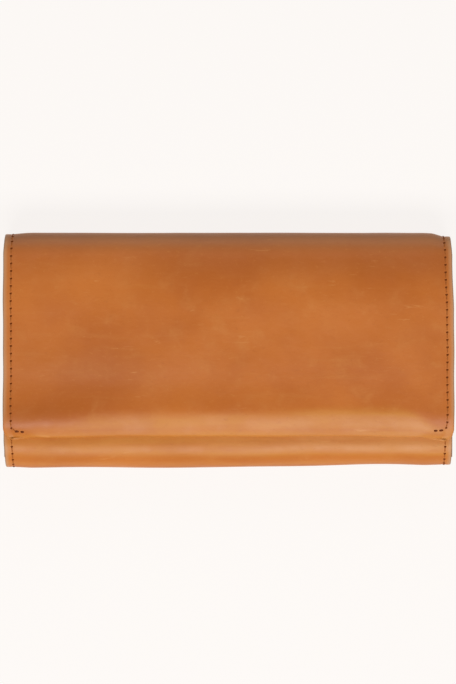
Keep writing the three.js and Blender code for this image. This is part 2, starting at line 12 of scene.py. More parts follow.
import bmesh
import bpy
import numpy as np
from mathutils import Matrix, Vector


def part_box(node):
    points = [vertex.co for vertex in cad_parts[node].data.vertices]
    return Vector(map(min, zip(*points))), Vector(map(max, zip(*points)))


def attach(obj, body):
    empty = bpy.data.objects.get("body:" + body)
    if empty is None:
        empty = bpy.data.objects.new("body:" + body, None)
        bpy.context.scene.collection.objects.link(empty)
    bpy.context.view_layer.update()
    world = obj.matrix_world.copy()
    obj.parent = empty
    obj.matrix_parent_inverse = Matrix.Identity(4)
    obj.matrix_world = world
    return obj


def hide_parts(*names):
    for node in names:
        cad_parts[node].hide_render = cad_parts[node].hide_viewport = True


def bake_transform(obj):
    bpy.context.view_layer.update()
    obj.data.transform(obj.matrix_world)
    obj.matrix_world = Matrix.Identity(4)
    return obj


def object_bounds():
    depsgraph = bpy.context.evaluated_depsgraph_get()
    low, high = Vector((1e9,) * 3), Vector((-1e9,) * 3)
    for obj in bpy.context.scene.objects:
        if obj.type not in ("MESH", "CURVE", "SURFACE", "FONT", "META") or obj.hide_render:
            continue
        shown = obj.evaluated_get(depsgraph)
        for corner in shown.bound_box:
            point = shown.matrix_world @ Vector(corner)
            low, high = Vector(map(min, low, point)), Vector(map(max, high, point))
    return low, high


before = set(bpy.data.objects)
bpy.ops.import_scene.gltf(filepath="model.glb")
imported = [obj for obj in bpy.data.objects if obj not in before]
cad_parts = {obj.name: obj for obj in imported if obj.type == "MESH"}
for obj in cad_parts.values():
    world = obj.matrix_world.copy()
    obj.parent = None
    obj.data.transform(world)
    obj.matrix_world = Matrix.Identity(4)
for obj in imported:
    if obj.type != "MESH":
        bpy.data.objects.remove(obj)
cad_low, cad_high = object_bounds()
MM = 0.001
X, Y, Z = 0, 1, 2
SIDES = (("left", -1), ("right", 1))
WALLS = (("rear", -1), ("front", 1))


# ---- sizes that come from the frame ----
def span(node, axis):
    """Lowest and highest place of a CAD node along one axis."""
    low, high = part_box(node)
    return low[axis], high[axis]


HALF_WIDTH = cad_high.x
HEIGHT_LOW, HEIGHT_HIGH = cad_low.y, cad_high.y
DEPTH = cad_high.z
HIDE = span("back_panel", Z)[1]
BODY_DEPTH = span("front_panel", Z)[1]
MOUTH = span("front_panel", Y)[1]
HEM = span("flap_panel", Y)[0]
LINING = span("back_lining", Z)[1] - span("back_lining", Z)[0]
BODY_LINING_INSET = span("back_lining", Z)[0]
FLAP_LINING_INSET = DEPTH - span("flap_lining", Z)[1]
SPINE_RADIUS = HEIGHT_HIGH - span("spine_panel", Y)[0]
FOLD_RADIUS = BODY_DEPTH / 2
STRAIGHT_LOW = HEIGHT_LOW + FOLD_RADIUS
STRAIGHT_HIGH = HEIGHT_HIGH - SPINE_RADIUS
POCKET_Z = BODY_DEPTH / 2

# ---- sizes that only the looks need ----
HEM_EASE_RADIUS = 26 * MM
HEM_EASE_TURN = 24  # degrees
HEM_ROLL_RADIUS = 1.1 * MM
HEM_SKIVED = 0.75 * MM  # the hide is thinned where it is rolled under
HEM_TURN_IN = 2.4 * MM
CORNER_RADIUS = 5.5 * MM
BODY_LINING_SIDE = 0.15 * MM  # how far a lining stays inside the hide's side edges
FLAP_LINING_SIDE = 1.3 * MM
FLAP_LINING_END = 6.5 * MM  # past the start of the hem's ease

SEAM_MARGINS = {-1: 2.9 * MM, 1: 2.5 * MM}  # left and right
SEAM_MARGIN = sum(SEAM_MARGINS.values()) / 2
SEAM_START = 3 * MM  # from the mouth to the first stitch
SEAM_ENDS = {-1: 5.0 * MM, 1: 3.9 * MM}  # past the flap's flat part
SEAM_CORNER_RADIUS = 2.7 * MM
STITCH_PITCH = 3.25 * MM
STITCH_LENGTH = 2.75 * MM
THREAD_RADIUS = 0.25 * MM
THREAD_SIDES, THREAD_RINGS, HOLE_SIDES = 8, 9, 10
HOLE_RADIUS = 0.66 * MM
LINING_HOLE_RADIUS = 0.42 * MM
HOLE_STEPS = ((1.0, -0.05 * MM), (0.85, 0.12 * MM), (0.25, 0.14 * MM))  # share of the radius, height
HOLE_STRETCH = 1.3  # along the seam
TACK_LENGTH, TACK_PITCH = 1.5 * MM, 2.5 * MM
TACK_REACH = 3.6 * MM  # from the seam's corner to the end of the inner tack
TACK_THICKNESS = 1.9  # against a plain stitch

CARD_SEAM_INNER, CARD_SEAM_OUTER = 1.6 * MM, 1.7 * MM  # from a card leaf's sides
CARD_FOOT_SEAM = 1.6 * MM  # from the leaf's foot
CARD_FOOT_SIDE = 3 * MM
POCKET_WALL = 0.7 * MM
POCKET_FULL = 3.7 * MM  # half the coin pocket's thickness
POCKET_FLANGE = 0.42 * MM  # the same at its sewn sides
POCKET_SEAM_SIDE, POCKET_SEAM_TOP = 9 * MM, 2 * MM
TAPE_THICKNESS = 0.4 * MM
TAPE_STAND = 2.9 * MM  # from the pocket's middle to the tape's outer face
TAPE_INNER_END = 1.05 * MM
TAPE_BEND = 0.8 * MM
TOOTH_PITCH, TOOTH_WIDTH = 2.4 * MM, 1.25 * MM
TOOTH_REACH, TOOTH_ROOT = 0.62 * MM, 1.35 * MM
BEAD_STAND = 1.15 * MM
BEAD_HALF_WIDTH, BEAD_HALF_DEPTH, BEAD_END = 0.42 * MM, 0.3 * MM, 0.55 * MM
SLIDER_WING = 0.8 * MM
SLIDER_FLANGE = 0.35 * MM
SLIDER_CROWN_RADIUS, SLIDER_CROWN_RISE = 2.2 * MM, 1.95 * MM
SLIDER_CROWN_HALF = 0.6 * MM
SNAP_BORE, SNAP_POST, SNAP_RIVET, SNAP_DISC, SNAP_GAP = 2.3, 2.0, 1.0, 0.7, 0.1  # mm
GUSSET_PLY = 0.5 * MM
GUSSET_PINCHED = 0.28 * MM  # from the pocket's middle, above and below the pocket


def smooth(a, b, v):
    """0 before a, 1 after b, and a smooth rise between them. a may be more than b."""
    t = np.clip((np.asarray(v, float) - a) / (b - a), 0, 1)
    return t * t * (3 - 2 * t)


def hill(centre, width, v):
    return np.exp(-(((np.asarray(v, float) - centre) / width) ** 2))


def unit(vectors):
    return vectors / np.linalg.norm(vectors, axis=-1, keepdims=True)


# ---- the strip's course in section ----
def course(moves, start, heading, step=0.1 * MM):
    """Follows straight runs and bends in the Y-Z plane.

    Each move is (length, degrees turned). Returns arrays of s, y, z, heading and curvature.
    """
    table = [(0.0, start[0], start[1], heading, 0.0)]
    s, (y, z), angle = 0.0, start, heading
    for length, turn in moves:
        steps = max(2, math.ceil(length / step))
        ds = length / steps
        bend = math.radians(turn) / length
        for _ in range(steps):
            middle = angle + bend * ds / 2
            y += math.cos(middle) * ds
            z += math.sin(middle) * ds
            angle += bend * ds
            s += ds
            table.append((s, y, z, angle, bend))
    return np.array(table).T


def bend_length(radius, turn):
    return radius * math.radians(turn)


ease_reach = HEM_EASE_RADIUS * math.sin(math.radians(HEM_EASE_TURN))
roll_reach = HEM_ROLL_RADIUS * (1 - math.sin(math.radians(HEM_EASE_TURN)))
FLAP_RUN = STRAIGHT_HIGH - HEM - ease_reach - roll_reach
MOVES = [
    (MOUTH - STRAIGHT_LOW, 0),
    (bend_length(FOLD_RADIUS, 180), 180),
    (STRAIGHT_HIGH - STRAIGHT_LOW, 0),
    (bend_length(SPINE_RADIUS, 90), 90),
    (DEPTH - 2 * SPINE_RADIUS, 0),
    (bend_length(SPINE_RADIUS, 90), 90),
    (FLAP_RUN, 0),
    (bend_length(HEM_EASE_RADIUS, HEM_EASE_TURN), HEM_EASE_TURN),
    (bend_length(HEM_ROLL_RADIUS, 180 - HEM_EASE_TURN), 180 - HEM_EASE_TURN),
    (HEM_TURN_IN, 0),
]
COURSE = course(MOVES, (MOUTH, BODY_DEPTH), math.pi)
MARKS = np.concatenate([[0], np.cumsum([length for length, _ in MOVES])])
(S_MOUTH, S_FOLD, S_BACK, S_SPINE, S_SPINE_FLAT, S_SPINE_HIGH, S_FLAP, S_EASE, S_ROLL, S_LIMB,
 S_END) = MARKS
S_FOLD_MIDDLE = (S_FOLD + S_BACK) / 2
S_BACK_MIDDLE = (S_BACK + S_SPINE) / 2
S_SPINE_MIDDLE = (S_SPINE_FLAT + S_SPINE_HIGH) / 2


def on_course(s):
    """Y, Z and heading of the outer face at s."""
    return [np.interp(s, COURSE[0], COURSE[row]) for row in (1, 2, 3)]


def past(mark, s):
    """How many millimetres s lies past a mark on the strip."""
    return (np.asarray(s, float) - mark) / MM


# ---- the strip's outline and its unevenness ----
# Each side stands in from the full width by these amounts, at these places along the strip.
SIDE_PLACES = [
    S_MOUTH, S_FOLD - 6 * MM, S_FOLD, S_FOLD_MIDDLE, S_BACK, S_SPINE - 8 * MM, S_SPINE + 6 * MM,
    S_SPINE_MIDDLE, S_FLAP - 6 * MM, S_FLAP, S_FLAP + 8 * MM, S_FLAP + 24 * MM, S_EASE - 4 * MM, S_END,
]
LEFT_INSETS = np.array([0.8, 0.7, 0.55, 1.5, 1.4, 0.8, 0.8, 1.4, 0.9, 0.55, 0.5, 0.5, 0.45, 0.4]) * MM
RIGHT_INSETS = np.array([1.2, 1.1, 0.9, 1.4, 1.5, 1.1, 1.6, 1.9, 1.5, 1.1, 0.8, 0.3, 0.05, 0.3]) * MM


def corner_inset(s):
    """How much the flap's rounded lower corners take off its sides."""
    drop = np.clip(HEM + CORNER_RADIUS - on_course(s)[0], 0, CORNER_RADIUS)
    rounded = CORNER_RADIUS - np.sqrt(CORNER_RADIUS**2 - drop**2)
    return np.where(np.asarray(s) > S_FLAP, rounded, 0)


def half_width(s, side):
    inset = np.interp(s, SIDE_PLACES, LEFT_INSETS if side < 0 else RIGHT_INSETS)
    wave = 0.12 * MM * np.sin(np.asarray(s) * 210 + side) * np.sin(np.asarray(s) * 77 + 2 * side)
    return HALF_WIDTH - inset - wave - corner_inset(s)


def edge_distance(x, s):
    """Distance from a place on the strip to its nearer side edge."""
    return np.minimum(x + half_width(s, -1), half_width(s, 1) - x)


def flap_swell(x, s):
    """The flap stands proud of what lies under it, dips above its hem and sinks at the spine. In mm."""
    across = x / HALF_WIDTH
    flap, ease = past(S_FLAP, s), past(S_EASE, s)
    on_flap = smooth(S_SPINE_MIDDLE, S_FLAP + 8 * MM, s) * (1 - smooth(S_ROLL, S_LIMB, s))
    h = on_flap * 0.45 * (1 - across**2) * smooth(0, 35, flap)
    h -= on_flap * 0.45 * hill(-11, 8, ease) * (1 - 0.6 * across)
    h += on_flap * 0.25 * hill(0.5, 4, ease)
    h -= 1.1 * smooth(S_SPINE_HIGH + 2 * MM, S_FLAP, s) * smooth(24, 1, flap)
    left_corner = smooth(-40, -84, x / MM)
    return h + 0.55 * left_corner * hill(5, 3.5, ease)


def ripples(x, s):
    """Slow waves in the leather, livelier in the bottom fold. In mm."""
    h = 0.16 * np.sin(x * 61 + 0.7) * np.sin(s * 83 + 1.1) * (1 - smooth(S_EASE, S_ROLL, s))
    h += 0.10 * np.sin(x * 143 + 2.1 + s * 40) * np.sin(s * 157 + 0.3)
    in_fold = hill(S_FOLD_MIDDLE, 11 * MM, s)
    return h + in_fold * 0.18 * np.sin(x * 97 + 1.3) * np.sin(s * 300)


def side_press(x, s):
    """How far the sewn sides, the flap's corners and the spine's ends are pressed in. In mm."""
    edge = edge_distance(x, s) / MM
    unrolled = 1 - smooth(S_ROLL, S_LIMB, s)
    covered = smooth(S_FOLD, S_FOLD - 12 * MM, s)
    h = 0.40 * (1 - smooth(2.5, 12, edge)) * unrolled * (1 - 0.6 * covered)
    h += 0.95 * smooth(13, 1, edge) * smooth(S_EASE - 2 * MM, S_ROLL, s) * unrolled
    h += 0.16 * hill(SEAM_MARGIN / MM, 0.7, edge)
    spine = hill(S_SPINE_MIDDLE, 12 * MM, s)
    return h + spine * (0.8 + 0.55 * np.sign(x)) * (1 - smooth(1.5, 8, edge))


def bottom_sag(x):
    """The bottom fold hangs lower on the left, where the pocket is fuller. In mm."""
    return 0.95 * smooth(48, -10, x / MM) - 0.35 * hill(66, 18, x / MM)


def swell(x, s):
    """How far the hide stands out from its plain course."""
    in_fold = hill(S_FOLD_MIDDLE, 13 * MM, s)
    return (flap_swell(x, s) + ripples(x, s) - side_press(x, s) + bottom_sag(x) * in_fold) * MM


def hem_droop(x, s):
    """The hem hangs lower towards its corners than in the middle."""
    left = 0.65 * smooth(-40, -80, x / MM) + 1.6 * smooth(-80, -94, x / MM)
    right = 0.5 * smooth(60, 80, x / MM) + 2.4 * smooth(80, 94, x / MM)
    return (left + right - 0.5) * MM * smooth(S_EASE - 18 * MM, S_ROLL - 2 * MM, s)


def on_strip(x, s, inset=0.0):
    """Points at (x, s), that far below the hide's outer face, as an array with a last axis of 3."""
    x, s = np.broadcast_arrays(np.asarray(x, float), np.asarray(s, float))
    y, z, heading = on_course(s)
    h = swell(x, s) - inset
    return np.stack([x, y + h * np.sin(heading) - hem_droop(x, s), z - h * np.cos(heading)], -1)


def strip_normal(x, s):
    e = 0.2 * MM
    across = on_strip(x + e, s) - on_strip(x - e, s)
    along = on_strip(x, s + e) - on_strip(x, s - e)
    return unit(np.cross(along, across))


# ---- how the wax is worn, and where painted shade and highlights lie on it, as shares from 0 to 1 ----
def pull_up_and_highlight_share(x, s):
    """How much the wax is pull-up pale at the hem and in the bottom fold, with painted highlights on these
    bends.
    """
    x, across = x / MM, x / HALF_WIDTH
    ease, fold = past(S_EASE, s), past(S_FOLD, s)
    start = 5.5 * smooth(-38, -90, x) - 2.2 * smooth(0, 50, x) + 6 * smooth(74, 93, x)
    # The dip 8.6 mm past the ease is a thin painted shade line above the hem's edge.
    at_hem = smooth(-1, 5, ease - start) * (0.66 + 0.18 * across) * (1 - 0.45 * hill(8.6, 1.1, ease))
    at_fold = smooth(-10, -2, fold) * smooth(7.2, 4.4, fold) * (0.74 + 0.22 * across)
    at_fold += 0.24 * smooth(4.4, 7.2, fold) * smooth(4, -6, past(S_BACK, s))
    # A thin painted reflection low on the bottom fold.
    at_fold += 0.2 * hill(10.8, 1.2, fold)
    return np.where(s > S_FLAP, at_hem, at_fold)


def spine_shade_share(s):
    """How much grey-brown painted shade lies over the spine and the top of the flap, partly also the fold's
    own darker wax.
    """
    return 0.6 * smooth(0, 9, past(S_SPINE, s)) * smooth(3, -11, past(S_FLAP, s))


def shade_and_patch_share(x, s):
    """How much darker the wax is: painted shade beside the spine and at the flap's corners, and a real darker
    patch on the left.
    """
    x, across = x / MM, x / HALF_WIDTH
    flap = past(S_FLAP, s)
    # Painted shade where the flap curves away from the light below the spine.
    spine = smooth(17, 1, flap) * smooth(-9, -3, flap) * (0.9 + 0.25 * across)
    patch = hill(-58, 44, x) * hill(53, 13, flap)
    # Painted shade at the flap's lower corners.
    corners = (hill(-90, 26, x) + 0.7 * hill(96, 10, x)) * hill(2.5, 6, past(S_EASE, s))
    return 0.75 * spine + 0.42 * patch + 0.55 * corners


def light_share(x, s):
    """How much paler the wax is in three broad patches: on the flap's left and right, and above the hem on
    the right.
    """
    x, flap = x / MM, past(S_FLAP, s)
    left = hill(-62, 30, x) * hill(14, 12, flap)
    right = hill(50, 32, x) * hill(29, 13, flap)
    low = hill(60, 40, x) * hill(-3, 5, past(S_EASE, s))
    return 0.55 * left + 0.55 * right + 0.2 * low


def rim_share(x, s):
    """How far in from the cut side edges the hide is made pale and grey. The turned hem has no cut edge."""
    turned_hem = smooth(-3, 4, past(S_EASE, s))
    return 0.6 * smooth(1.4 * MM, 0, edge_distance(x, s)) * (1 - turned_hem)


# ---- mesh helpers ----
@contextmanager
def editing(mesh):
    """Opens a mesh for changes and writes them back."""
    work = bmesh.new()
    work.from_mesh(mesh)
    yield work
    work.to_mesh(mesh)
    work.free()


def make_object(name, points, faces, materials, smooth_shade=True):
    mesh = bpy.data.meshes.new(name)
    mesh.from_pydata([tuple(p) for p in np.asarray(points, float)], [], faces)
    mesh.validate()
    with editing(mesh) as work:
        bmesh.ops.recalc_face_normals(work, faces=work.faces)
    if smooth_shade:
        mesh.shade_smooth()
    obj = bpy.data.objects.new(name, mesh)
    bpy.context.scene.collection.objects.link(obj)
    for material in materials:
        mesh.materials.append(material)
    return obj


def tube_faces(rings, sides, first=0):
    """Quads between successive rings of points, the first of which is point first."""
    here = first + np.arange(rings * sides).reshape(rings, sides)
    beside = np.roll(here, -1, 1)
    return np.stack([here[:-1], beside[:-1], beside[1:], here[1:]], -1).reshape(-1, 4).tolist()


def closed_tube(rings, sides, first=0):
    """The same with one face as a lid on each end."""
    last = first + (rings - 1) * sides
    lids = [list(range(first, first + sides)), list(range(last, last + sides))[::-1]]
    return tube_faces(rings, sides, first) + lids


def ply_faces(rows, columns):
    """The same with a strip of quads over each end."""
    faces = tube_faces(rows, columns)
    for first in (0, (rows - 1) * columns):
        faces += [(first + j, first + j + 1, first + columns - 2 - j, first + columns - 1 - j)
                  for j in range(columns // 2 - 1)]
    return faces


def set_attribute(obj, name, kind, values):
    attribute = obj.data.attributes.new(name, kind, "POINT")
    key = "vector" if kind == "FLOAT_VECTOR" else "value"
    attribute.data.foreach_set(key, np.asarray(values, np.float32).ravel())


def across_places(left, right, fine=0.75 * MM, coarse=2.2 * MM, border=15 * MM):
    """Places from left to right as shares of the width, closer together near the sides."""
    width = right + left
    edge = np.arange(0, border, fine)
    middle = np.linspace(border, width - border, max(2, round((width - 2 * border) / coarse)))
    return np.concatenate([edge, middle, width - edge[::-1]]) / width


def strip_places(start, end, fine_roll, step=1.1 * MM):
    """Places along the strip for one ply's rows, closer together where a hem is rolled."""
    s = np.linspace(start, end, max(2, round((end - start) / step)) + 1)
    roll = (s > S_ROLL - 1 * MM) & (s < S_LIMB + 0.5 * MM)
    if roll.any() and fine_roll:
        s = np.unique(np.concatenate([s[~roll], np.linspace(S_ROLL, S_LIMB, 22), [start, end]]))
    return s


def strip_shell(name, start, end, inset, thickness, look, side_inset=0.0):
    """A ply of the strip from s = start to end, with rounded side edges. inset may depend on s."""
    s = strip_places(start, end, inset == 0)
    rows = len(s)
    depth = inset(s) if callable(inset) else np.full(rows, float(inset))
    left = half_width(s, -1) - side_inset
    right = half_width(s, 1) - side_inset
    x = -left[:, None] + across_places(HALF_WIDTH, HALF_WIDTH)[None, :] * (left + right)[:, None]
    skived = np.minimum(thickness, thickness + (HEM_SKIVED - thickness) * smooth(S_EASE, S_ROLL, s))
    outer = on_strip(x, s[:, None], depth[:, None])
    inner = on_strip(x, s[:, None], (depth + skived)[:, None])
    turns = np.radians([30, 60, 90, 120, 150])

    def rim(column, side):
        middle = (outer[:, column] + inner[:, column]) / 2
        half = (outer[:, column] - inner[:, column]) / 2
        out = np.array([side * thickness / 2, 0, 0])
        return np.stack([middle + half * math.cos(a) + out * math.sin(a) * 0.8 for a in turns], 1)

    loops = np.concatenate([outer, rim(-1, 1), inner[:, ::-1], rim(0, -1)[:, ::-1]], 1)
    rims, columns = len(turns), loops.shape[1]
    obj = make_object(name, loops.reshape(-1, 3), ply_faces(rows, columns), [look])
    loop_x = np.concatenate([x, np.repeat(x[:, -1:], rims, 1), x[:, ::-1], np.repeat(x[:, :1], rims, 1)], 1)
    part = np.repeat([0, 1, 2, 1], [x.shape[1], rims, x.shape[1], rims])  # outer, rim, inner, rim
    add_wear_and_painted_light(obj, loop_x, np.repeat(s[:, None], columns, 1), part)
    sharpen_ends(obj, rows, columns)
    return obj


def add_wear_and_painted_light(obj, x, s, part):
    """Gives a ply the attributes that the hide's material reads: wear, and painted shade and highlights. Of a
    column's part, 1 is rim, 2 inner.
    """
    inside = np.broadcast_to(part == 2, s.shape)
    set_attribute(obj, "rest", "FLOAT_VECTOR", np.stack([x, s, inside * 10 * MM], -1))
    # Besides wear, these carry painted light: painted shade over the spine and at the flap's corners, and
    # painted highlights at the hem and the bottom fold.
    shares = {
        "raw_edge": (part == 1) * (1 - smooth(1, 6, past(S_EASE, s))),
        "side_distance": edge_distance(x, s),
        "pull_up_and_highlight": pull_up_and_highlight_share(x, s),
        "fold": spine_shade_share(s),
        "dark": shade_and_patch_share(x, s),
        "light": light_share(x, s),
        "rim": rim_share(x, s),
    }
    for name, values in shares.items():
        set_attribute(obj, name, "FLOAT", values)


def sharpen_ends(obj, rows, columns):
    """Keeps the shading of the two cut ends off the faces beside them."""
    mesh = obj.data
    ends = np.zeros(len(mesh.edges) * 2, np.int32)
    mesh.edges.foreach_get("vertices", ends)
    row = ends.reshape(-1, 2) // columns
    sharp = (row[:, 0] == row[:, 1]) & np.isin(row[:, 0], (0, rows - 1))
    mesh.attributes.new("sharp_edge", "BOOLEAN", "EDGE").data.foreach_set("value", sharp)


def stands_for(obj, slot, *nodes):
    """Hides the CAD nodes that the piece replaces. slot is not used."""
    if nodes:
        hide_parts(*nodes)


def ride(obj, body, slot, *nodes):
    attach(obj, body)
    stands_for(obj, slot, *nodes)


# ---- materials ----
def adder(kind, output, keys, **settings):
    """A method that adds one kind of node. Its values are given in the order of the input keys."""
    def method(self, *values):
        return self.add(kind, output, dict(zip(keys, values)), **settings)
    return method


class Nodes:
    """Short ways to add and link shader nodes in one material."""

    def __init__(self, name):
        self.material = bpy.data.materials.new(name)
        self.material.use_nodes = True
        self.tree = self.material.node_tree
        self.shader = self.tree.nodes["Principled BSDF"]

    def link(self, value, socket):
        if isinstance(value, bpy.types.NodeSocket):
            self.tree.links.new(value, socket)
        elif socket.type == "RGBA":
            socket.default_value = (*value, 1.0)
        else:
            socket.default_value = value

    def add(self, kind, output, inputs, **settings):
        """Adds a node with these settings and inputs, and gives one of its outputs."""
        node = self.tree.nodes.new("ShaderNode" + kind)
        for key, value in settings.items():
            setattr(node, key, value)
        for key, value in inputs.items():
            self.link(value, node.inputs[key])
        return node.outputs[output]

    place = adder("TexCoord", "Object", ())
    scaled = adder("Mapping", "Vector", ("Vector", "Scale"))
    noise = adder("TexNoise", "Fac", ("Vector", "Scale", "Detail", "Roughness", "Distortion"))
    cells = adder("TexVoronoi", "Distance", ("Vector", "Scale"), feature="DISTANCE_TO_EDGE")
    ramp = adder("MapRange", "Result", ("Value", "From Min", "From Max", "To Min", "To Max"),
                 interpolation_type="SMOOTHSTEP")
    plus = adder("Math", "Value", (0, 1), operation="ADD")
    times = adder("Math", "Value", (0, 1), operation="MULTIPLY")
    # A Mix node's factor is its input 0, its colours are inputs 6 and 7, and their mix is output 2.
    mix = adder("Mix", 2, (0, 6, 7), data_type="RGBA", clamp_factor=True)
    bump = adder("Bump", "Normal", ("Height", "Distance", "Strength", "Normal"))

    def share(self, name):
        return self.add("Attribute", "Fac", {}, attribute_name=name)

    def finish(self, color, roughness, normal=None, specular=0.5, metallic=0.0, sheen=0.0):
        """Sets the shader's inputs. The last three are constants on its own sockets."""
        inputs = self.shader.inputs
        self.link(color, inputs["Base Color"])
        self.link(roughness, inputs["Roughness"])
        if normal is not None:
            self.link(normal, inputs["Normal"])
        inputs["Specular IOR Level"].default_value = specular
        inputs["Metallic"].default_value = metallic
        inputs["Sheen Weight"].default_value = sheen
        return self.material


TAN = (0.51, 0.144, 0.018)
TAN_DEEP = (0.44, 0.112, 0.012)
TAN_PALE = (0.56, 0.224, 0.050)
TAN_SCRATCH = (0.66, 0.30, 0.09)
TAN_DARK = (0.35, 0.088, 0.010)
TAN_LIGHT = (0.60, 0.185, 0.030)
TAN_GOLD = (0.56, 0.225, 0.030)
RIM_PALE = (0.50, 0.29, 0.16)
# Painted shade for the spine.
SPINE_SHADE_BROWN = (0.38, 0.195, 0.095)
EDGE_BROWN = (0.33, 0.185, 0.10)


def wax_color(n, rest, blotches, streaks):
    """The hide's mottled wax with darker and paler patches, painted shade beside the spine and at the flap's
    corners, pull-up paleness with painted highlights at the hem and bottom fold, and grey-brown painted shade
    on the spine.
    """
    clouds = n.noise(rest, 24, 3.0, 0.5)
    color = n.mix(n.ramp(clouds, 0.36, 0.64), TAN_DEEP, TAN)
    color = n.mix(n.ramp(blotches, 0.50, 0.80, 0.0, 0.40), color, TAN_PALE)
    color = n.mix(n.ramp(streaks, 0.52, 0.80, 0.0, 0.22), color, TAN_PALE)
    # Painted shade beside the spine and at the flap's corners, and a real darker patch on the left.
    color = n.mix(n.share("dark"), color, TAN_DARK)
    color = n.mix(n.share("light"), color, TAN_LIGHT)
    # worn is pull-up paleness with a painted highlight over it, at the hem and in the bottom fold.
    worn = n.times(n.share("pull_up_and_highlight"), n.ramp(streaks, 0.30, 0.62, 0.65, 1.0))
    pull_up_and_highlight_tint = n.ramp(n.share("pull_up_and_highlight"), 0.60, 0.84)
    color = n.mix(worn, color, n.mix(pull_up_and_highlight_tint, TAN_GOLD, TAN_PALE))
    # Grey-brown painted shade over the spine.
    return n.mix(n.share("fold"), color, SPINE_SHADE_BROWN)


def scuffed(n, rest, fibres, color):
    """Adds the short nap, a few scuffs and loose fibres."""
    nap = n.noise(n.scaled(rest, (0.55, 1.0, 1.0)), 700, 4.0, 0.75, 0.4)
    color = n.mix(n.ramp(nap, 0.54, 0.78, 0.0, 0.30), color, TAN_PALE)
    color = n.mix(n.ramp(nap, 0.46, 0.24, 0.0, 0.30), color, TAN_DARK)
    scuffs = n.noise(n.scaled(rest, (0.20, 1.0, 1.0)), 520, 3.0, 0.55, 0.8)
    few = n.ramp(n.noise(rest, 36, 2.0, 0.5), 0.52, 0.66)
    shown = n.times(n.ramp(scuffs, 0.62, 0.73, 0.0, 0.46), few)
    color = n.mix(shown, color, TAN_SCRATCH)
    return n.mix(n.ramp(fibres, 0.72, 0.80, 0.0, 0.25), color, TAN_SCRATCH)


def edged(n, color):
    """Adds the paler sides and the raw cut edges."""
    color = n.mix(n.ramp(n.share("side_distance"), 3.0 * MM, 0.2 * MM, 0.0, 0.30), color, TAN_PALE)
    color = n.mix(n.share("rim"), color, RIM_PALE)
    return n.mix(n.times(n.share("raw_edge"), 0.9), color, EDGE_BROWN)


def hide_material():
    """Waxed pull-up leather: mottled, paler at its bends and scuffs with painted highlights on the bends,
    with painted shade on the spine and the flap's corners, and a very fine grain.
    """
    n = Nodes("hide")
    rest = n.add("Attribute", "Vector", {}, attribute_name="rest")
    blotches = n.noise(rest, 80, 4.0, 0.6, 0.2)
    streaks = n.noise(n.scaled(rest, (0.14, 1.0, 1.0)), 230, 4.0, 0.6, 0.2)
    fibres = n.noise(n.scaled(rest, (0.5, 1.3, 1.0)), 300, 3.0, 0.7, 1.2)
    pores = n.noise(rest, 2600, 2.0, 0.6)
    color = edged(n, scuffed(n, rest, fibres, wax_color(n, rest, blotches, streaks)))
    color = n.mix(n.ramp(pores, 0.35, 0.65, 0.0, 0.10), color, TAN_DEEP)
    height = n.plus(n.times(n.cells(rest, 1500), 0.5), n.times(fibres, 0.6))
    height = n.plus(height, n.times(pores, 0.35))
    normal = n.bump(height, 0.06 * MM, 0.5)
    normal = n.bump(n.noise(rest, 160, 3.0, 0.5), 0.3 * MM, 0.4, normal)
    return n.finish(color, n.ramp(blotches, 0.3, 0.7, 0.44, 0.54), normal, specular=0.36)


def thread_material(name, light, dark):
    n = Nodes(name)
    fuzz = n.noise(n.place(), 4000, 2.0, 0.55)
    color = n.mix(n.ramp(fuzz, 0.35, 0.65), light, dark)
    return n.finish(color, 0.75, n.bump(fuzz, 0.08 * MM, 0.8), specular=0.2)


# Painted shade: the dark inside of an awl hole round the thread.
def hole_shade_material():
    n = Nodes("awl_hole_shade")
    color = n.mix(n.noise(n.place(), 5000, 2.0, 0.55), (0.12, 0.024, 0.003), (0.18, 0.042, 0.005))
    return n.finish(color, 0.9, specular=0.1)


def lining_material():
    """Thin, matt lining leather with an even small grain."""
    n = Nodes("lining")
    place = n.place()
    clouds = n.noise(place, 40, 3.0, 0.5)
    grain = n.cells(place, 1700)
    color = n.mix(n.ramp(clouds, 0.35, 0.65), (0.36, 0.135, 0.040), (0.43, 0.175, 0.058))
    color = n.mix(n.ramp(grain, 0.0, 0.16, 0.30, 0.0), color, (0.20, 0.065, 0.018))
    height = n.plus(n.ramp(grain, 0.0, 0.25), n.times(n.noise(place, 900, 3.0, 0.55), 0.5))
    roughness = n.ramp(clouds, 0.3, 0.7, 0.62, 0.72)
    return n.finish(color, roughness, n.bump(height, 0.08 * MM, 0.6), specular=0.3)


def tape_material():
    """Woven zip tape: fine ribs with a cross weave."""
    n = Nodes("zip_tape")
    ribs, weft = (
        n.add("TexWave", "Fac", {"Vector": n.place(), "Scale": scale, "Distortion": 0.3}, bands_direction=way)
        for way, scale in (("X", 520), ("Y", 900)))
    height = n.plus(ribs, n.times(weft, 0.5))
    color = n.mix(n.ramp(height, 0.2, 1.3), (0.055, 0.022, 0.009), (0.13, 0.058, 0.024))
    return n.finish(color, 0.85, n.bump(height, 0.10 * MM, 0.8), sheen=0.15)


def metal_material(name, color, worn, roughness, brushed):
    """Plated metal with faint brushing and a little tarnish."""
    n = Nodes(name)
    streaks = n.noise(n.scaled(n.place(), brushed), 900, 3.0, 0.6)
    tarnish = n.noise(n.place(), 350, 4.0, 0.6)
    tone = n.mix(n.ramp(tarnish, 0.48, 0.72, 0.0, 0.7), color, worn)
    rough = n.ramp(streaks, 0.3, 0.7, roughness - 0.05, roughness + 0.10)
    return n.finish(tone, rough, n.bump(streaks, 0.02 * MM, 0.4), metallic=1.0)


def board_material():
    n = Nodes("fibre_board")
    fleck = n.noise(n.place(), 1200, 4.0, 0.7)
    color = n.mix(fleck, (0.22, 0.18, 0.14), (0.33, 0.28, 0.22))
    return n.finish(color, 0.9, n.bump(fleck, 0.05 * MM, 0.6))


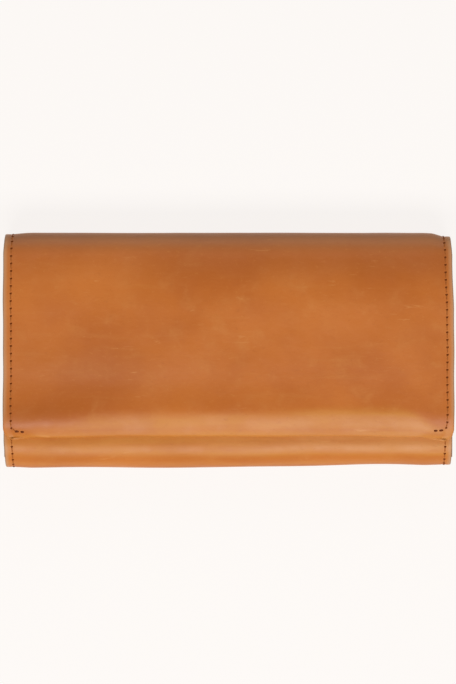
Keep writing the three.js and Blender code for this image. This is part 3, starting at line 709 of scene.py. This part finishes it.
LINING_LOOK = lining_material()
TAPE_LOOK = tape_material()
ZIP_LOOK = metal_material("zip_brass", (0.62, 0.42, 0.17), (0.30, 0.18, 0.07), 0.30, (0.2, 1.0, 1.0))
SNAP_LOOK = metal_material("snap_brass", (0.70, 0.52, 0.27), (0.40, 0.27, 0.12), 0.24, (1.0, 1.0, 1.0))
STEEL_LOOK = metal_material("plain_steel", (0.45, 0.45, 0.46), (0.25, 0.24, 0.23), 0.38, (1.0, 0.3, 1.0))
BOARD_LOOK = board_material()
HIDE_LOOK = hide_material()
THREAD_LOOK = thread_material("waxed_thread", (0.43, 0.140, 0.026), (0.30, 0.080, 0.013))
TACK_LOOK = thread_material("tacked_thread", (0.18, 0.038, 0.005), (0.11, 0.022, 0.003))
HOLE_SHADE_LOOK = hole_shade_material()


# ---- cover ----
# The cover is cut where it follows one body wholly. A bend
# is the start and end, as (y, z), of the way from the first body to the second. The last three say
# which CAD nodes the stretch's hide, lining and threads stand for; a thread's name goes on with its side.
Stretch = namedtuple("Stretch", "start end bodies bend hides linings threads")
UNDER_FOLD = (STRAIGHT_LOW - FOLD_RADIUS, POCKET_Z)
STRETCHES = {
    "front": Stretch(
        S_MOUTH, S_FOLD_MIDDLE, ("coin_pocket", "front"), (UNDER_FOLD, (STRAIGHT_LOW, BODY_DEPTH)),
        ["front_panel"], ["front_lining"], ["front_thread_"]),
    "back_low": Stretch(
        S_FOLD_MIDDLE, S_BACK_MIDDLE, ("coin_pocket", "back"), (UNDER_FOLD, (STRAIGHT_LOW, 0)),
        ["back_panel", "bottom_fold"], ["back_lining"], ["back_thread_"]),
    "back_high": Stretch(
        S_BACK_MIDDLE, S_SPINE_MIDDLE, ("back", "spine"), ((STRAIGHT_HIGH, 0), (HEIGHT_HIGH, SPINE_RADIUS)),
        ["spine_panel"], ["spine_lining"], []),
    "flap": Stretch(
        S_SPINE_MIDDLE, S_END, ("spine", "flap"),
        ((HEIGHT_HIGH, DEPTH - SPINE_RADIUS), (STRAIGHT_HIGH, DEPTH)),
        ["flap_panel"], ["flap_lining"], ["flap_thread_"]),
}


def bend_with(obj, name, slot, *nodes):
    """Bakes the piece's place into its mesh and hides the CAD nodes that it replaces. name and slot are not
    used.
    """
    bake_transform(obj)
    stands_for(obj, slot, *nodes)


def add_cover():
    for name, stretch in STRETCHES.items():
        obj = strip_shell("cover_" + name, stretch.start, stretch.end, 0.0, HIDE, HIDE_LOOK)
        bend_with(obj, name, "hide", *stretch.hides)


# ---- stitches ----
def seam_line(side):
    """The side seam as (x, s) from the front's mouth to the start of the flap's corner."""
    s = np.arange(S_MOUTH + SEAM_START, S_EASE + SEAM_ENDS[side], 0.25 * MM)
    return side * (half_width(s, side) - SEAM_MARGINS[side]), s


def stitch_places(x, s):
    """Cuts a line of (x, s) into stitches, each as its two ends."""
    points = on_strip(x, s)
    run = np.concatenate([[0], np.cumsum(np.linalg.norm(np.diff(points, axis=0), axis=1))])
    starts = np.arange(0, run[-1] - STITCH_LENGTH, STITCH_PITCH)
    ends = starts + STITCH_LENGTH
    return [((np.interp(a, run, x), np.interp(a, run, s)), (np.interp(b, run, x), np.interp(b, run, s)))
            for a, b in zip(starts, ends)]


def ring(centre, first, second, sides):
    """Points round a centre. first and second are the ring's half axes."""
    a = 2 * np.pi * np.arange(sides)[:, None] / sides
    return centre + first * np.cos(a) + second * np.sin(a)


def hole_rings(centre, radius, along, beside, up):
    """A shallow ring, dark with painted shade, where the thread goes in: a low cone, longer along the seam.
    """
    rings = []
    for share, height in HOLE_STEPS:
        size = share * radius
        rings.append(ring(centre + up * height, along * HOLE_STRETCH * size, beside * size, HOLE_SIDES))
    return rings


def add_stitches(name, stitches, placed, thick=1.0, hole=HOLE_RADIUS):
    """Threads that dip into a hole at each end, the hole a cone of painted shade. placed(x, s, lift) gives
    points over the surface.
    """
    points, faces, marks = [], [], []

    def add_rings(rings, mark):
        faces.extend(closed_tube(len(rings), len(rings[0]), len(points)))
        marks.extend([mark] * (len(faces) - len(marks)))
        points.extend(np.concatenate(rings))

    between = (STITCH_PITCH - STITCH_LENGTH) / 2
    for number, ((x0, s0), (x1, s1)) in enumerate(stitches):
        t = np.linspace(0, 1, THREAD_RINGS)
        lift = (np.sin(np.pi * t) ** 0.5 * 0.75 - 0.55) * THREAD_RADIUS * thick
        x = x0 + (x1 - x0) * t
        s = s0 + (s1 - s0) * t
        centre = placed(x, s, lift)
        along = unit(np.gradient(centre, axis=0))
        up = unit(placed(x, s, lift + 1 * MM) - centre)
        beside = np.cross(along, up)
        width = THREAD_RADIUS * thick * np.sqrt(np.clip(1 - (2 * t - 1) ** 6 * 0.85, 0.05, 1))
        add_rings([ring(c, w * u, w * b, THREAD_SIDES) for c, w, u, b in zip(centre, width, up, beside)], 0)
        for i, way in ((0, -1), (-1, 1)):
            if way < 0 or number == len(stitches) - 1:
                middle = centre[i] - up[i] * lift[i] + along[i] * way * between
                add_rings(hole_rings(middle, hole, along[i], beside[i], up[i]), 1)
    obj = make_object(name, points, faces, [THREAD_LOOK, HOLE_SHADE_LOOK])
    obj.data.polygons.foreach_set("material_index", np.array(marks, np.int32))
    return obj


def over_hide(x, s, lift):
    return on_strip(x, s) + strip_normal(x, s) * np.asarray(lift)[:, None]


def corner_line(side):
    """The flap's seam round its corner, as (x, s): it turns from the side in along the hem."""
    x, s = (v[-1] for v in seam_line(side))
    a = np.radians(np.linspace(0, 80, 30))
    return x - side * SEAM_CORNER_RADIUS * (1 - np.cos(a)), s + SEAM_CORNER_RADIUS * np.sin(a)


def add_back_tack(word, side, x, s):
    """Two thick stitches beside each other, sewn in from (x, s), where the seam's corner ends."""
    end_x, end_s = x - side * TACK_REACH, s + TACK_REACH * 0.08
    tacks = []
    for place, lower in ((0, 0.3 * MM), (TACK_PITCH, -0.2 * MM)):
        inner = (end_x + side * place, end_s + lower)
        tacks.append(((inner[0] + side * TACK_LENGTH, inner[1] - 0.3 * MM), inner))
    obj = add_stitches(f"back_tack_{word}", tacks, over_hide, TACK_THICKNESS)
    obj.data.materials[0] = TACK_LOOK
    bend_with(obj, "flap", "thread")


def add_seams():
    for word, side in SIDES:
        x, s = seam_line(side)
        corner_x, corner_s = corner_line(side)
        add_back_tack(word, side, corner_x[-1], corner_s[-1])
        stitches = stitch_places(np.concatenate([x, corner_x[1:]]), np.concatenate([s, corner_s[1:]]))
        for name, stretch in STRETCHES.items():
            mine = [st for st in stitches if stretch.start <= (st[0][1] + st[1][1]) / 2 < stretch.end]
            obj = add_stitches(f"stitches_{name}_{word}", mine, over_hide)
            bend_with(obj, name, "thread", *(node + word for node in stretch.threads))


def add_straight_seam(name, body, start, end, placed):
    """A straight row of stitches inside the wallet. placed(places, lift) lays it on its surface."""
    start, end = np.array(start, float), np.array(end, float)
    length = np.linalg.norm(end - start)
    count = max(1, int(length // STITCH_PITCH))
    first = (length - count * STITCH_PITCH + STITCH_PITCH - STITCH_LENGTH) / 2
    runs = [first + i * STITCH_PITCH for i in range(count)]
    stitches = [((run, 0.0), (run + STITCH_LENGTH, 0.0)) for run in runs]

    def along(run, _, lift):
        return placed(start + np.outer(run / length, end - start), lift)

    obj = add_stitches(name, stitches, along, hole=LINING_HOLE_RADIUS)
    ride(obj, body, "thread")


# ---- linings ----
def flap_inset(s):
    """The lining leaves room for the stiffener once it is past the spine."""
    eased = smooth(S_SPINE_HIGH + 3 * MM, S_FLAP - 1 * MM, s)
    return BODY_LINING_INSET + (FLAP_LINING_INSET - BODY_LINING_INSET) * eased


def add_board():
    """The stiffener lies between the flap's hide and its lining and follows their swell."""
    low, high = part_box("flap_stiffener")
    start = S_FLAP + STRAIGHT_HIGH - high.y
    end = S_FLAP + STRAIGHT_HIGH - low.y
    side = HALF_WIDTH - high.x
    obj = strip_shell("flap_board", start, end, DEPTH - high.z, high.z - low.z, BOARD_LOOK, side)
    ride(obj, "flap", "board", "flap_stiffener")


def add_linings():
    for name, stretch in STRETCHES.items():
        end, inset, side = stretch.end, BODY_LINING_INSET, BODY_LINING_SIDE
        if name == "flap":
            end, inset, side = S_EASE + FLAP_LINING_END, flap_inset, FLAP_LINING_SIDE
        obj = strip_shell("lining_" + name, stretch.start, end, inset, LINING, LINING_LOOK, side)
        bend_with(obj, name, "lining", *stretch.linings)


# ---- card slots ----
def under_flap(x, y, z):
    """A place under the flap, given as if the flap were flat: it follows the flap's own swell."""
    return on_strip(x, S_FLAP + STRAIGHT_HIGH - y, DEPTH - z)


def sheet_shell(name, outer, inner, look):
    """A closed sheet from two grids of points with rounded rims on all four sides."""
    rows, columns = outer.shape[:2]
    count = rows * columns
    points = np.concatenate([outer.reshape(-1, 3), inner.reshape(-1, 3)])
    grid = np.arange(count).reshape(rows, columns)
    quads = np.stack([grid[:-1, :-1], grid[:-1, 1:], grid[1:, 1:], grid[1:, :-1]], -1).reshape(-1, 4)
    border = np.concatenate([grid[0], grid[1:, -1], grid[-1, -2::-1], grid[-2:0:-1, 0]])
    across = points[border] - points[border + count]
    middle = points[border] - across / 2
    row, column = np.divmod(border, columns)
    outward = np.stack([column % (columns - 1) == 0, row % (rows - 1) == 0, row < 0], 1)
    thick = np.linalg.norm(across, axis=1, keepdims=True)
    rim = middle + np.sign(middle - points.mean(0)) * outward * thick * 0.4
    beside, edge = np.roll(border, -1), 2 * count + np.arange(len(border))
    edge_beside = np.roll(edge, -1)
    faces = [quads, quads[:, ::-1] + count, np.stack([beside, border, edge, edge_beside], 1),
             np.stack([border + count, beside + count, edge_beside, edge], 1)]
    return make_object(name, np.concatenate([points, rim]), np.concatenate(faces).tolist(), [look])


def add_card_leaf(word, number):
    node = f"card_leaf_{word}_{number}"
    low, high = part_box(node)
    mouth = low.y + np.array([0, 0.35, 0.8, 1.2, 1.5, 1.8, 2.2]) * MM
    x, y = np.meshgrid(np.linspace(low.x, high.x, 60),
                       np.concatenate([mouth, np.linspace(low.y + 3 * MM, high.y, 24)]))
    from_mouth = y - low.y
    crease = 0.10 * MM * hill(1.5 * MM, 0.3 * MM, from_mouth)
    sag = 0.15 * MM * np.sin((x - low.x) / (high.x - low.x) * np.pi) * smooth(12 * MM, 0, from_mouth)
    shown = under_flap(x, y, low.z - sag + crease)
    hidden = under_flap(x, y, low.z - sag + high.z - low.z)
    obj = sheet_shell(f"card_slot_{word}_{number}", hidden, shown, LINING_LOOK)
    ride(obj, "flap", "lining", node)


def add_card_slots():
    for word, side in SIDES:
        for number in (1, 2, 3):
            add_card_leaf(word, number)
        boxes = [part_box(f"card_leaf_{word}_{number}") for number in (1, 2, 3)]
        last_low, last_high = boxes[-1]
        inner, outer = sorted((abs(last_low.x), abs(last_high.x)))
        for number, (low, _) in enumerate(boxes, 1):
            top = boxes[number][0].y if number < 3 else last_high.y
            for edge, x in (("inner", inner + CARD_SEAM_INNER), ("outer", outer - CARD_SEAM_OUTER)):
                add_straight_seam(
                    f"stitches_slot_{edge}_{word}_{number}", "flap",
                    (side * x, low.y + 0.8 * MM), (side * x, top - 0.4 * MM),
                    lambda p, lift, z=low.z: under_flap(p[:, 0], p[:, 1], z - lift))
        foot = last_high.y - CARD_FOOT_SEAM
        add_straight_seam(
            f"stitches_foot_{word}", "flap",
            (side * (inner + CARD_FOOT_SIDE), foot), (side * (outer - CARD_FOOT_SIDE), foot),
            lambda p, lift, z=last_low.z: under_flap(p[:, 0], p[:, 1], z - lift))


# ---- coin pocket ----
def pocket_height(x, y, side_x, foot_y):
    """How far the pocket's wall stands from its middle, as a pillow with a sewn flange at the sides."""
    up = y - foot_y
    rise = smooth(3.4 * MM, 8.0 * MM, side_x - np.abs(x)) * smooth(0.2 * MM, 4.5 * MM, up)
    belly = 0.25 * MM * np.sin(x * 45 + 1) * np.sin(up * 70)
    return POCKET_FLANGE + (POCKET_FULL - POCKET_FLANGE) * rise - np.abs(belly) * rise


def add_pocket_wall(word, side):
    low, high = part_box("coin_pocket_" + word)
    left = np.linspace(low.x, low.x + 10 * MM, 18)
    middle = np.linspace(low.x + 13 * MM, high.x - 13 * MM, 60)
    right = np.linspace(high.x - 10 * MM, high.x, 18)
    foot = np.linspace(low.y, low.y + 6 * MM, 14)
    x, y = np.meshgrid(np.concatenate([left, middle, right]),
                       np.concatenate([foot, np.linspace(low.y + 8 * MM, high.y, 40)]))
    stand = pocket_height(x, y, high.x, low.y)
    outer = np.stack([x, y, POCKET_Z + side * stand], -1)
    inner = np.stack([x, y, POCKET_Z + side * np.maximum(stand - POCKET_WALL, 0.04 * MM)], -1)
    obj = sheet_shell("pocket_wall_" + word, outer, inner, LINING_LOOK)
    ride(obj, "coin_pocket", "lining", "coin_pocket_" + word)
    edge = high.y - POCKET_SEAM_TOP
    face = POCKET_Z + side * POCKET_FULL
    add_straight_seam(
        "stitches_zip_" + word, "coin_pocket",
        (low.x + POCKET_SEAM_SIDE, edge, face), (high.x - POCKET_SEAM_SIDE, edge, face),
        lambda p, lift: p + np.outer(lift, (0, 0, side)))


def add_coin_pocket():
    for word, side in WALLS:
        add_pocket_wall(word, side)


# ---- zip ----
def beveled(obj, width, segments):
    """Applies a bevel to a sharp-edged mesh."""
    with editing(obj.data) as work:
        sharp = [e for e in work.edges if len(e.link_faces) == 2 and e.calc_face_angle() > math.radians(30)]
        bmesh.ops.bevel(work, geom=sharp, offset=width, segments=segments, affect="EDGES", profile=0.6)
    obj.data.shade_smooth()
    return obj


def prism(outline, low, high, axes):
    """Points and faces of an outline of (u, v) raised along w. axes gives the order of u, v and w."""
    points = np.zeros((2 * len(outline), 3))
    points[:, axes[:2]] = [*outline, *outline]
    points[:, axes[2]] = np.repeat([low, high], len(outline))
    return points, closed_tube(2, len(outline))


def merged(parts):
    points, faces = [], []
    for part_points, part_faces in parts:
        base = len(points)
        points += [tuple(p) for p in part_points]
        faces += [tuple(base + k for k in face) for face in part_faces]
    return points, faces


def around(x, y, radius, sides):
    """A round outline, as pairs."""
    return [(x + radius * math.cos(a), y + radius * math.sin(a))
            for a in np.linspace(0, 2 * math.pi, sides, endpoint=False)]


def add_fitting(name, shape, bevel, steps, body, node):
    """A small brass piece of the zip from points and faces, with its edges rounded."""
    obj = beveled(make_object(name, *shape, [ZIP_LOOK], smooth_shade=False), bevel, steps)
    ride(obj, body, "zip_brass", node)


def tooth_outline(x, side):
    """One tooth seen from above, as (x, z): a waisted peg that ends in a rounded head."""
    neck, head = TOOTH_WIDTH * 0.34, TOOTH_WIDTH * 0.5
    root = side * TOOTH_ROOT
    z = [root, root - side * 0.42 * MM, -side * 0.05 * MM,
         -side * (TOOTH_REACH - 0.12 * MM), -side * TOOTH_REACH]
    half = [head * 1.05, neck * 1.2, neck, head, head * 0.6]
    left = [(x - h, POCKET_Z + v) for h, v in zip(half, z)]
    right = [(x + h, POCKET_Z + v) for h, v in zip(half, z)]
    return left + right[::-1]


def add_teeth(word, side):
    """A row of teeth, set half a pitch off the other row, on a corded bead."""
    low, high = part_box("zip_teeth_" + word)
    first = low.x + TOOTH_PITCH / 2 + side * TOOTH_PITCH / 4
    parts = [prism(tooth_outline(first + i * TOOTH_PITCH, side), low.y, high.y, (X, Z, Y))
             for i in range(round((high.x - low.x) / TOOTH_PITCH))]
    add_fitting("zip_teeth_chain_" + word, merged(parts), 0.10 * MM, 2, "coin_pocket", "zip_teeth_" + word)
    middle = (low.y + high.y) / 2
    outline = [(middle + BEAD_HALF_WIDTH * u, POCKET_Z + side * (BEAD_STAND + BEAD_HALF_DEPTH * v))
               for u, v in around(0, 0, 1, 12)]
    bead = prism(outline, low.x - BEAD_END, high.x + BEAD_END, (Y, Z, X))
    ride(make_object("zip_bead_" + word, *bead, [TAPE_LOOK]), "coin_pocket", "zip_cloth")


def add_tape(word, side):
    """The tape stands in the pocket's mouth and turns in at the top to carry the teeth."""
    low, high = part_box("zip_tape_" + word)
    turn = np.radians(np.linspace(0, 90, 7))
    top = high.y - TAPE_BEND
    leg = [(low.y, TAPE_STAND), (top - 4 * MM, TAPE_STAND - 0.05 * MM)]
    bend = [(top + TAPE_BEND * math.sin(a), TAPE_STAND - TAPE_BEND + TAPE_BEND * math.cos(a)) for a in turn]
    section = np.array(leg + bend + [(high.y, TAPE_INNER_END)])
    along = unit(np.gradient(section, axis=0))
    inner = section + np.stack([-along[:, 1], along[:, 0]], 1) * TAPE_THICKNESS
    x = np.linspace(low.x, high.x, 120)

    def grid(line):
        y, stand = (np.repeat(column[:, None], len(x), 1) for column in line.T)
        return np.stack([np.repeat(x[None, :], len(line), 0), y, POCKET_Z + side * stand], -1)

    obj = sheet_shell("zip_tape_cloth_" + word, grid(section), grid(inner), TAPE_LOOK)
    ride(obj, "coin_pocket", "zip_cloth", "zip_tape_" + word)


def add_stop(node, name, bevel):
    """A small clamped block, rebuilt from its CAD node's box with rounded edges."""
    low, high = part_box(node)
    outline = [(low.x, low.z), (high.x, low.z), (high.x, high.z), (low.x, high.z)]
    block = prism(outline, low.y, high.y, (X, Z, Y))
    add_fitting(name, block, bevel, 3, "coin_pocket", node)


def mirrored(shape, x, length, half):
    """An outline of (x, z) from shares of a length and of a half width, the same on both sides."""
    one = [(x + u * length, POCKET_Z + v * half) for u, v in shape]
    return one + [(x + u * length, POCKET_Z - v * half) for u, v in reversed(shape)]


def crown_outline(x, y):
    """An arch over the slider's upper wing, as (x, y)."""
    foot = y - 0.2 * MM
    a = np.radians(np.linspace(0, 180, 13))
    outer = (SLIDER_CROWN_RADIUS, SLIDER_CROWN_RISE + 0.2 * MM, a)
    inner = (SLIDER_CROWN_RADIUS - 0.7 * MM, SLIDER_CROWN_RISE - 0.5 * MM, a[::-1])
    return [(x + wide * math.cos(t), foot + tall * math.sin(t))
            for wide, tall, turns in (outer, inner) for t in turns]


def add_slider():
    """Two wings with a flange at each side, and a crown that the pull hangs on."""
    low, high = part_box("zip_slider")
    middle = (low.x + high.x) / 2
    length, half = high.x - low.x, (high.z - low.z) / 2
    top = high.y - SLIDER_CROWN_RISE
    shape = [(-0.5, 0.60), (-0.46, 0.84), (-0.1, 0.94), (0.18, 1), (0.36, 0.92), (0.47, 0.68), (0.5, 0.28)]
    outline = mirrored(shape, middle, length, half)
    parts = [prism(outline, top - SLIDER_WING, top, (X, Z, Y)),
             prism(outline, low.y, low.y + SLIDER_WING, (X, Z, Y))]
    rear, front = middle - 0.42 * length, middle + 0.2 * length
    for side in (-1, 1):
        z = POCKET_Z + side * half * 0.93
        inner = z - side * SLIDER_FLANGE
        rail = [(rear, z), (front, z + side * SLIDER_FLANGE * 0.2), (front, inner), (rear, inner)]
        parts.append(prism(rail, top - SLIDER_WING - SLIDER_FLANGE, top - SLIDER_WING * 0.5, (X, Z, Y)))
    parts.append(prism(crown_outline(middle, top), POCKET_Z - SLIDER_CROWN_HALF,
                       POCKET_Z + SLIDER_CROWN_HALF, (X, Y, Z)))
    add_fitting("zip_slider_body", merged(parts), 0.14 * MM, 2, "zip_slider", "zip_slider")


def pierced_plate(outer, holes, low, high):
    """A plate in the X-Z plane with holes, as points and faces."""
    work = bmesh.new()
    edges = []
    for outline in [outer, *holes]:
        verts = [work.verts.new((x, low, z)) for x, z in outline]
        edges += [work.edges.new((verts[i], verts[(i + 1) % len(verts)])) for i in range(len(verts))]
    bmesh.ops.triangle_fill(work, use_beauty=True, use_dissolve=True, edges=edges)
    raised = bmesh.ops.extrude_face_region(work, geom=work.faces[:])
    moved = [v for v in raised["geom"] if isinstance(v, bmesh.types.BMVert)]
    bmesh.ops.translate(work, verts=moved, vec=(0, high - low, 0))
    work.verts.index_update()
    points = [tuple(v.co) for v in work.verts]
    faces = [tuple(v.index for v in f.verts) for f in work.faces]
    work.free()
    return points, faces


def add_pull():
    """A waisted tab with an eye round the slider's crown and a round hole at its far end."""
    low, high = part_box("zip_pull")
    shape = [(0.0, 0.62), (-0.04, 0.80), (-0.28, 0.80), (-0.36, 0.55), (-0.48, 0.60), (-0.80, 1.0),
             (-0.92, 0.92), (-1.0, 0.55)]
    outer = mirrored(shape, high.x, high.x - low.x, (high.z - low.z) / 2)
    eye_shape = [(0, 0.9), (-0.2, 1.0), (-0.8, 1.0), (-1.0, 0.8)]
    eye = mirrored(eye_shape, high.x - 0.8 * MM, 2.4 * MM, 0.95 * MM)
    hole = around(low.x + 2.3 * MM, POCKET_Z, 0.8 * MM, 20)
    plate = pierced_plate(outer, [eye, hole], low.y, high.y)
    add_fitting("zip_pull_tab", plate, 0.13 * MM, 2, "zip_pull", "zip_pull")


def add_zip():
    for word, side in WALLS:
        add_tape(word, side)
        add_teeth(word, side)
        add_stop("zip_top_stop_" + word, "zip_stop_" + word, 0.25 * MM)
    add_stop("zip_bottom_stop", "zip_stop_bottom", 0.3 * MM)
    add_slider()
    add_pull()


# ---- snap ----
def turned(name, profile, look, centre, sides=64):
    """Turns a closed profile of (radius, z), in mm, round an upright axis."""
    points = []
    for k in range(sides):
        a = 2 * math.pi * k / sides
        points += [(centre[0] + r * MM * math.cos(a), centre[1] + r * MM * math.sin(a), z * MM)
                   for r, z in profile]
    faces = np.array(tube_faces(sides + 1, len(profile))) % len(points)
    obj = make_object(name, points, faces.tolist(), [look])
    with editing(obj.data) as work:
        bmesh.ops.remove_doubles(work, verts=work.verts, dist=1e-7)
        bmesh.ops.recalc_face_normals(work, faces=work.faces)
    return obj


def pierce(name, centre, radius):
    """Cuts a round upright hole through a ply of the front."""
    target = bpy.data.objects[name]
    outline = around(*centre, radius, 32)
    low, high = BODY_DEPTH - 4 * MM, BODY_DEPTH + 2 * MM
    punch = make_object("punch", *prism(outline, low, high, (X, Y, Z)), [], smooth_shade=False)
    cut = target.modifiers.new("hole", "BOOLEAN")
    cut.object = punch
    cut.operation = "DIFFERENCE"
    cut.solver = "EXACT"
    whole = bpy.context.evaluated_depsgraph_get()
    mesh = bpy.data.meshes.new_from_object(target.evaluated_get(whole))
    target.modifiers.remove(cut)
    target.data = mesh
    bpy.data.objects.remove(punch)


def socket_profile(bore, radius, low, top):
    """A cap with a rolled lip round its bore, a groove and a rounded rim. In mm."""
    return [(bore, low + 0.3), (bore, top - 0.25), (bore + 0.12, top - 0.06), (bore + 0.45, top),
            (bore + 0.9, top - 0.16), (radius - 1.5, top - 0.16), (radius - 1.1, top - 0.02),
            (radius - 0.5, top - 0.05), (radius - 0.12, top - 0.3), (radius, top - 0.7), (radius, low),
            (radius - 0.4, low), (radius - 0.4, top - 0.6), (bore + 0.4, top - 0.4),
            (bore + 0.4, low + 0.3)]


def stud_profile(post, radius, tip, disc, top):
    """A post with a rounded tip below a domed disc that starts at disc, and a rivet above it. In mm."""
    under = disc - SNAP_DISC
    return [(0, tip), (post - 0.5, tip), (post - 0.2, tip + 0.12), (post, tip + 0.4), (post, under - 0.15),
            (post + 0.2, under), (radius - 1.3, under), (radius - 0.9, under), (radius - 0.25, under + 0.1),
            (radius, under + 0.35), (radius, disc), (SNAP_RIVET, disc), (SNAP_RIVET, top), (0, top)]


def add_snap():
    low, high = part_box("snap_socket_cap")
    centre = ((low.x + high.x) / 2, (low.y + high.y) / 2)
    radius = (high.x - centre[0]) / MM
    for ply in ("cover_front", "lining_front"):
        pierce(ply, centre, (SNAP_BORE + 0.5) * MM)
    profile = socket_profile(SNAP_BORE, radius, low.z / MM, high.z / MM)
    ride(turned("snap_cap", profile, SNAP_LOOK, centre), "front", "snap_brass", "snap_socket_cap")
    low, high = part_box("snap_stud")
    disc = span("flap_lining", Z)[0] / MM - SNAP_GAP
    profile = stud_profile(SNAP_POST, radius, low.z / MM, disc, high.z / MM)
    ride(turned("snap_stud_cap", profile, SNAP_LOOK, centre), "flap", "snap_brass", "snap_stud")


# ---- gussets ----
def pleat_section(outer_x, apex_x):
    """A pleat in section, as places across the wallet and shares of the way from wall to pocket."""
    marks = np.array([
        (outer_x, 0), (outer_x - 1.8 * MM, 0), (outer_x - 3.2 * MM, 0.07), (apex_x + 1.5 * MM, 0.33),
        (apex_x + 0.4 * MM, 0.43), (apex_x, 0.5), (apex_x + 0.4 * MM, 0.57), (apex_x + 1.5 * MM, 0.67),
        (outer_x - 4.0 * MM, 0.92), (outer_x - 3.0 * MM, 1), (outer_x - 2.2 * MM, 1)])
    fine = np.linspace(0, len(marks) - 1, 41)
    line = np.stack([np.interp(fine, range(len(marks)), column) for column in marks.T], 1)
    for _ in range(4):
        line[1:-1] = (line[:-2] + 2 * line[1:-1] + line[2:]) / 4
    return line


def add_gusset(word, side, which, toward):
    """A pleat from a wall to the pocket's side, which narrows where it runs into the bottom fold."""
    node = f"gusset_{which}_{word}"
    low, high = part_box(node)
    wall_z, pocket_z = (low.z, high.z)[::toward]
    pocket_low, pocket_high = span("coin_pocket_rear", Y)
    line = pleat_section(*sorted((abs(low.x), abs(high.x)), reverse=True))
    share = line[:, 1]
    reach = abs(wall_z - POCKET_Z)
    foot = STRAIGHT_LOW - 6.3 * MM
    top = high.y - 6 * MM * np.sin(np.pi * share) - 4 * MM * share
    y = foot + np.linspace(0, 1, 70)[:, None] * (top[None, :] - foot)
    wall = np.sqrt(reach**2 - np.clip(STRAIGHT_LOW - y, 0, None) ** 2)
    beside = smooth(pocket_low - 5 * MM, pocket_low, y) * smooth(pocket_high + 5 * MM, pocket_high, y)
    middle = GUSSET_PINCHED + (abs(pocket_z - POCKET_Z) - GUSSET_PINCHED) * beside
    stand = wall + (middle - wall) * share[None, :]
    along = unit(np.gradient(np.stack([line[:, 0], (share - 1) * reach * toward], 1), axis=0))
    normal = np.stack([along[:, 1], -along[:, 0]], 1) * toward

    def grid(offset):
        x = line[:, 0] + normal[:, 0] * offset
        z = POCKET_Z - toward * stand + normal[None, :, 1] * offset
        return np.stack([np.broadcast_to(side * x, y.shape), y, z], -1)

    obj = sheet_shell(f"pleat_{which}_{word}", grid(0.0), grid(GUSSET_PLY), LINING_LOOK)
    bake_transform(obj)
    stands_for(obj, "lining", node)


def add_gussets():
    for word, side in SIDES:
        add_gusset(word, side, "rear", 1)
        add_gusset(word, side, "front", -1)


def dress_hidden_pieces():
    """The pieces that stay inside keep their CAD shape and get a material."""
    for node in ("snap_magnet", "snap_socket_base", "snap_socket_washer", "snap_stud_washer"):
        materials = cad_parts[node].data.materials
        materials.clear()
        materials.append(STEEL_LOOK)


add_cover()
add_seams()
add_linings()
add_board()
add_card_slots()
add_coin_pocket()
add_zip()
add_snap()
add_gussets()
dress_hidden_pieces()


# ---- floor, light and camera ----
PHOTO_WIDTH, PHOTO_HEIGHT = 456, 684
SPACE_SIDE = 1.25 * MM  # free space beside the wallet in the frame, on each side
WALLET_BELOW_MIDDLE = 3.1 * MM
CAMERA_LEFT = 0.1 * MM
FLOOR_DROP = 0.4 * MM  # the back's swells hang this far below the plain hide
FLOOR_SIZE = 3.0
LENS, SENSOR = 400.0, 36.0


def add_floor():
    """A pale floor that is bright by itself, so that it stays even under the lights."""
    bpy.ops.mesh.primitive_grid_add(x_subdivisions=8, y_subdivisions=8, size=FLOOR_SIZE)
    floor = bpy.context.object
    floor.name = "floor"
    floor.location.z = -FLOOR_DROP
    n = Nodes("floor")
    n.finish((0.085, 0.082, 0.080), 1.0, specular=0.0)
    n.shader.inputs["Emission Color"].default_value = (0.991, 0.957, 0.932, 1.0)
    n.shader.inputs["Emission Strength"].default_value = 0.90
    floor.data.materials.append(n.material)


def add_area(name, place, size, watts, color):
    light = bpy.data.lights.new(name, "AREA")
    light.shape = "RECTANGLE"
    light.size, light.size_y = size
    light.energy = watts
    light.color = color
    obj = bpy.data.objects.new(name, light)
    bpy.context.scene.collection.objects.link(obj)
    obj.location = place
    obj.rotation_euler = (-Vector(place)).to_track_quat("-Z", "Y").to_euler()


def add_lights():
    add_area("key", (0.0, -0.80, 1.2), (1.5, 0.5), 23.0, (1.0, 0.985, 0.95))
    add_area("fill", (0.15, 1.1, 0.7), (1.6, 0.6), 4.0, (1.0, 1.0, 1.0))
    world = bpy.data.worlds.new("room")
    bpy.context.scene.world = world
    world.use_nodes = True
    background = world.node_tree.nodes["Background"]
    background.inputs["Color"].default_value = (1.0, 0.98, 0.96, 1.0)
    background.inputs["Strength"].default_value = 0.18


def add_camera():
    """Straight above the wallet, so far away that its length fills the frame."""
    data = bpy.data.cameras.new("camera")
    data.lens = LENS
    data.sensor_width = SENSOR
    data.clip_start, data.clip_end = 0.01, 10
    camera = bpy.data.objects.new("camera", data)
    bpy.context.scene.collection.objects.link(camera)
    long_side = 2 * (HALF_WIDTH + SPACE_SIDE) * PHOTO_HEIGHT / PHOTO_WIDTH
    away = long_side * LENS / SENSOR
    camera.location = (-CAMERA_LEFT, WALLET_BELOW_MIDDLE, 0.9 * DEPTH + away)
    bpy.context.scene.camera = camera


add_floor()
add_lights()
add_camera()
bpy.context.scene.view_settings.view_transform = "Standard"
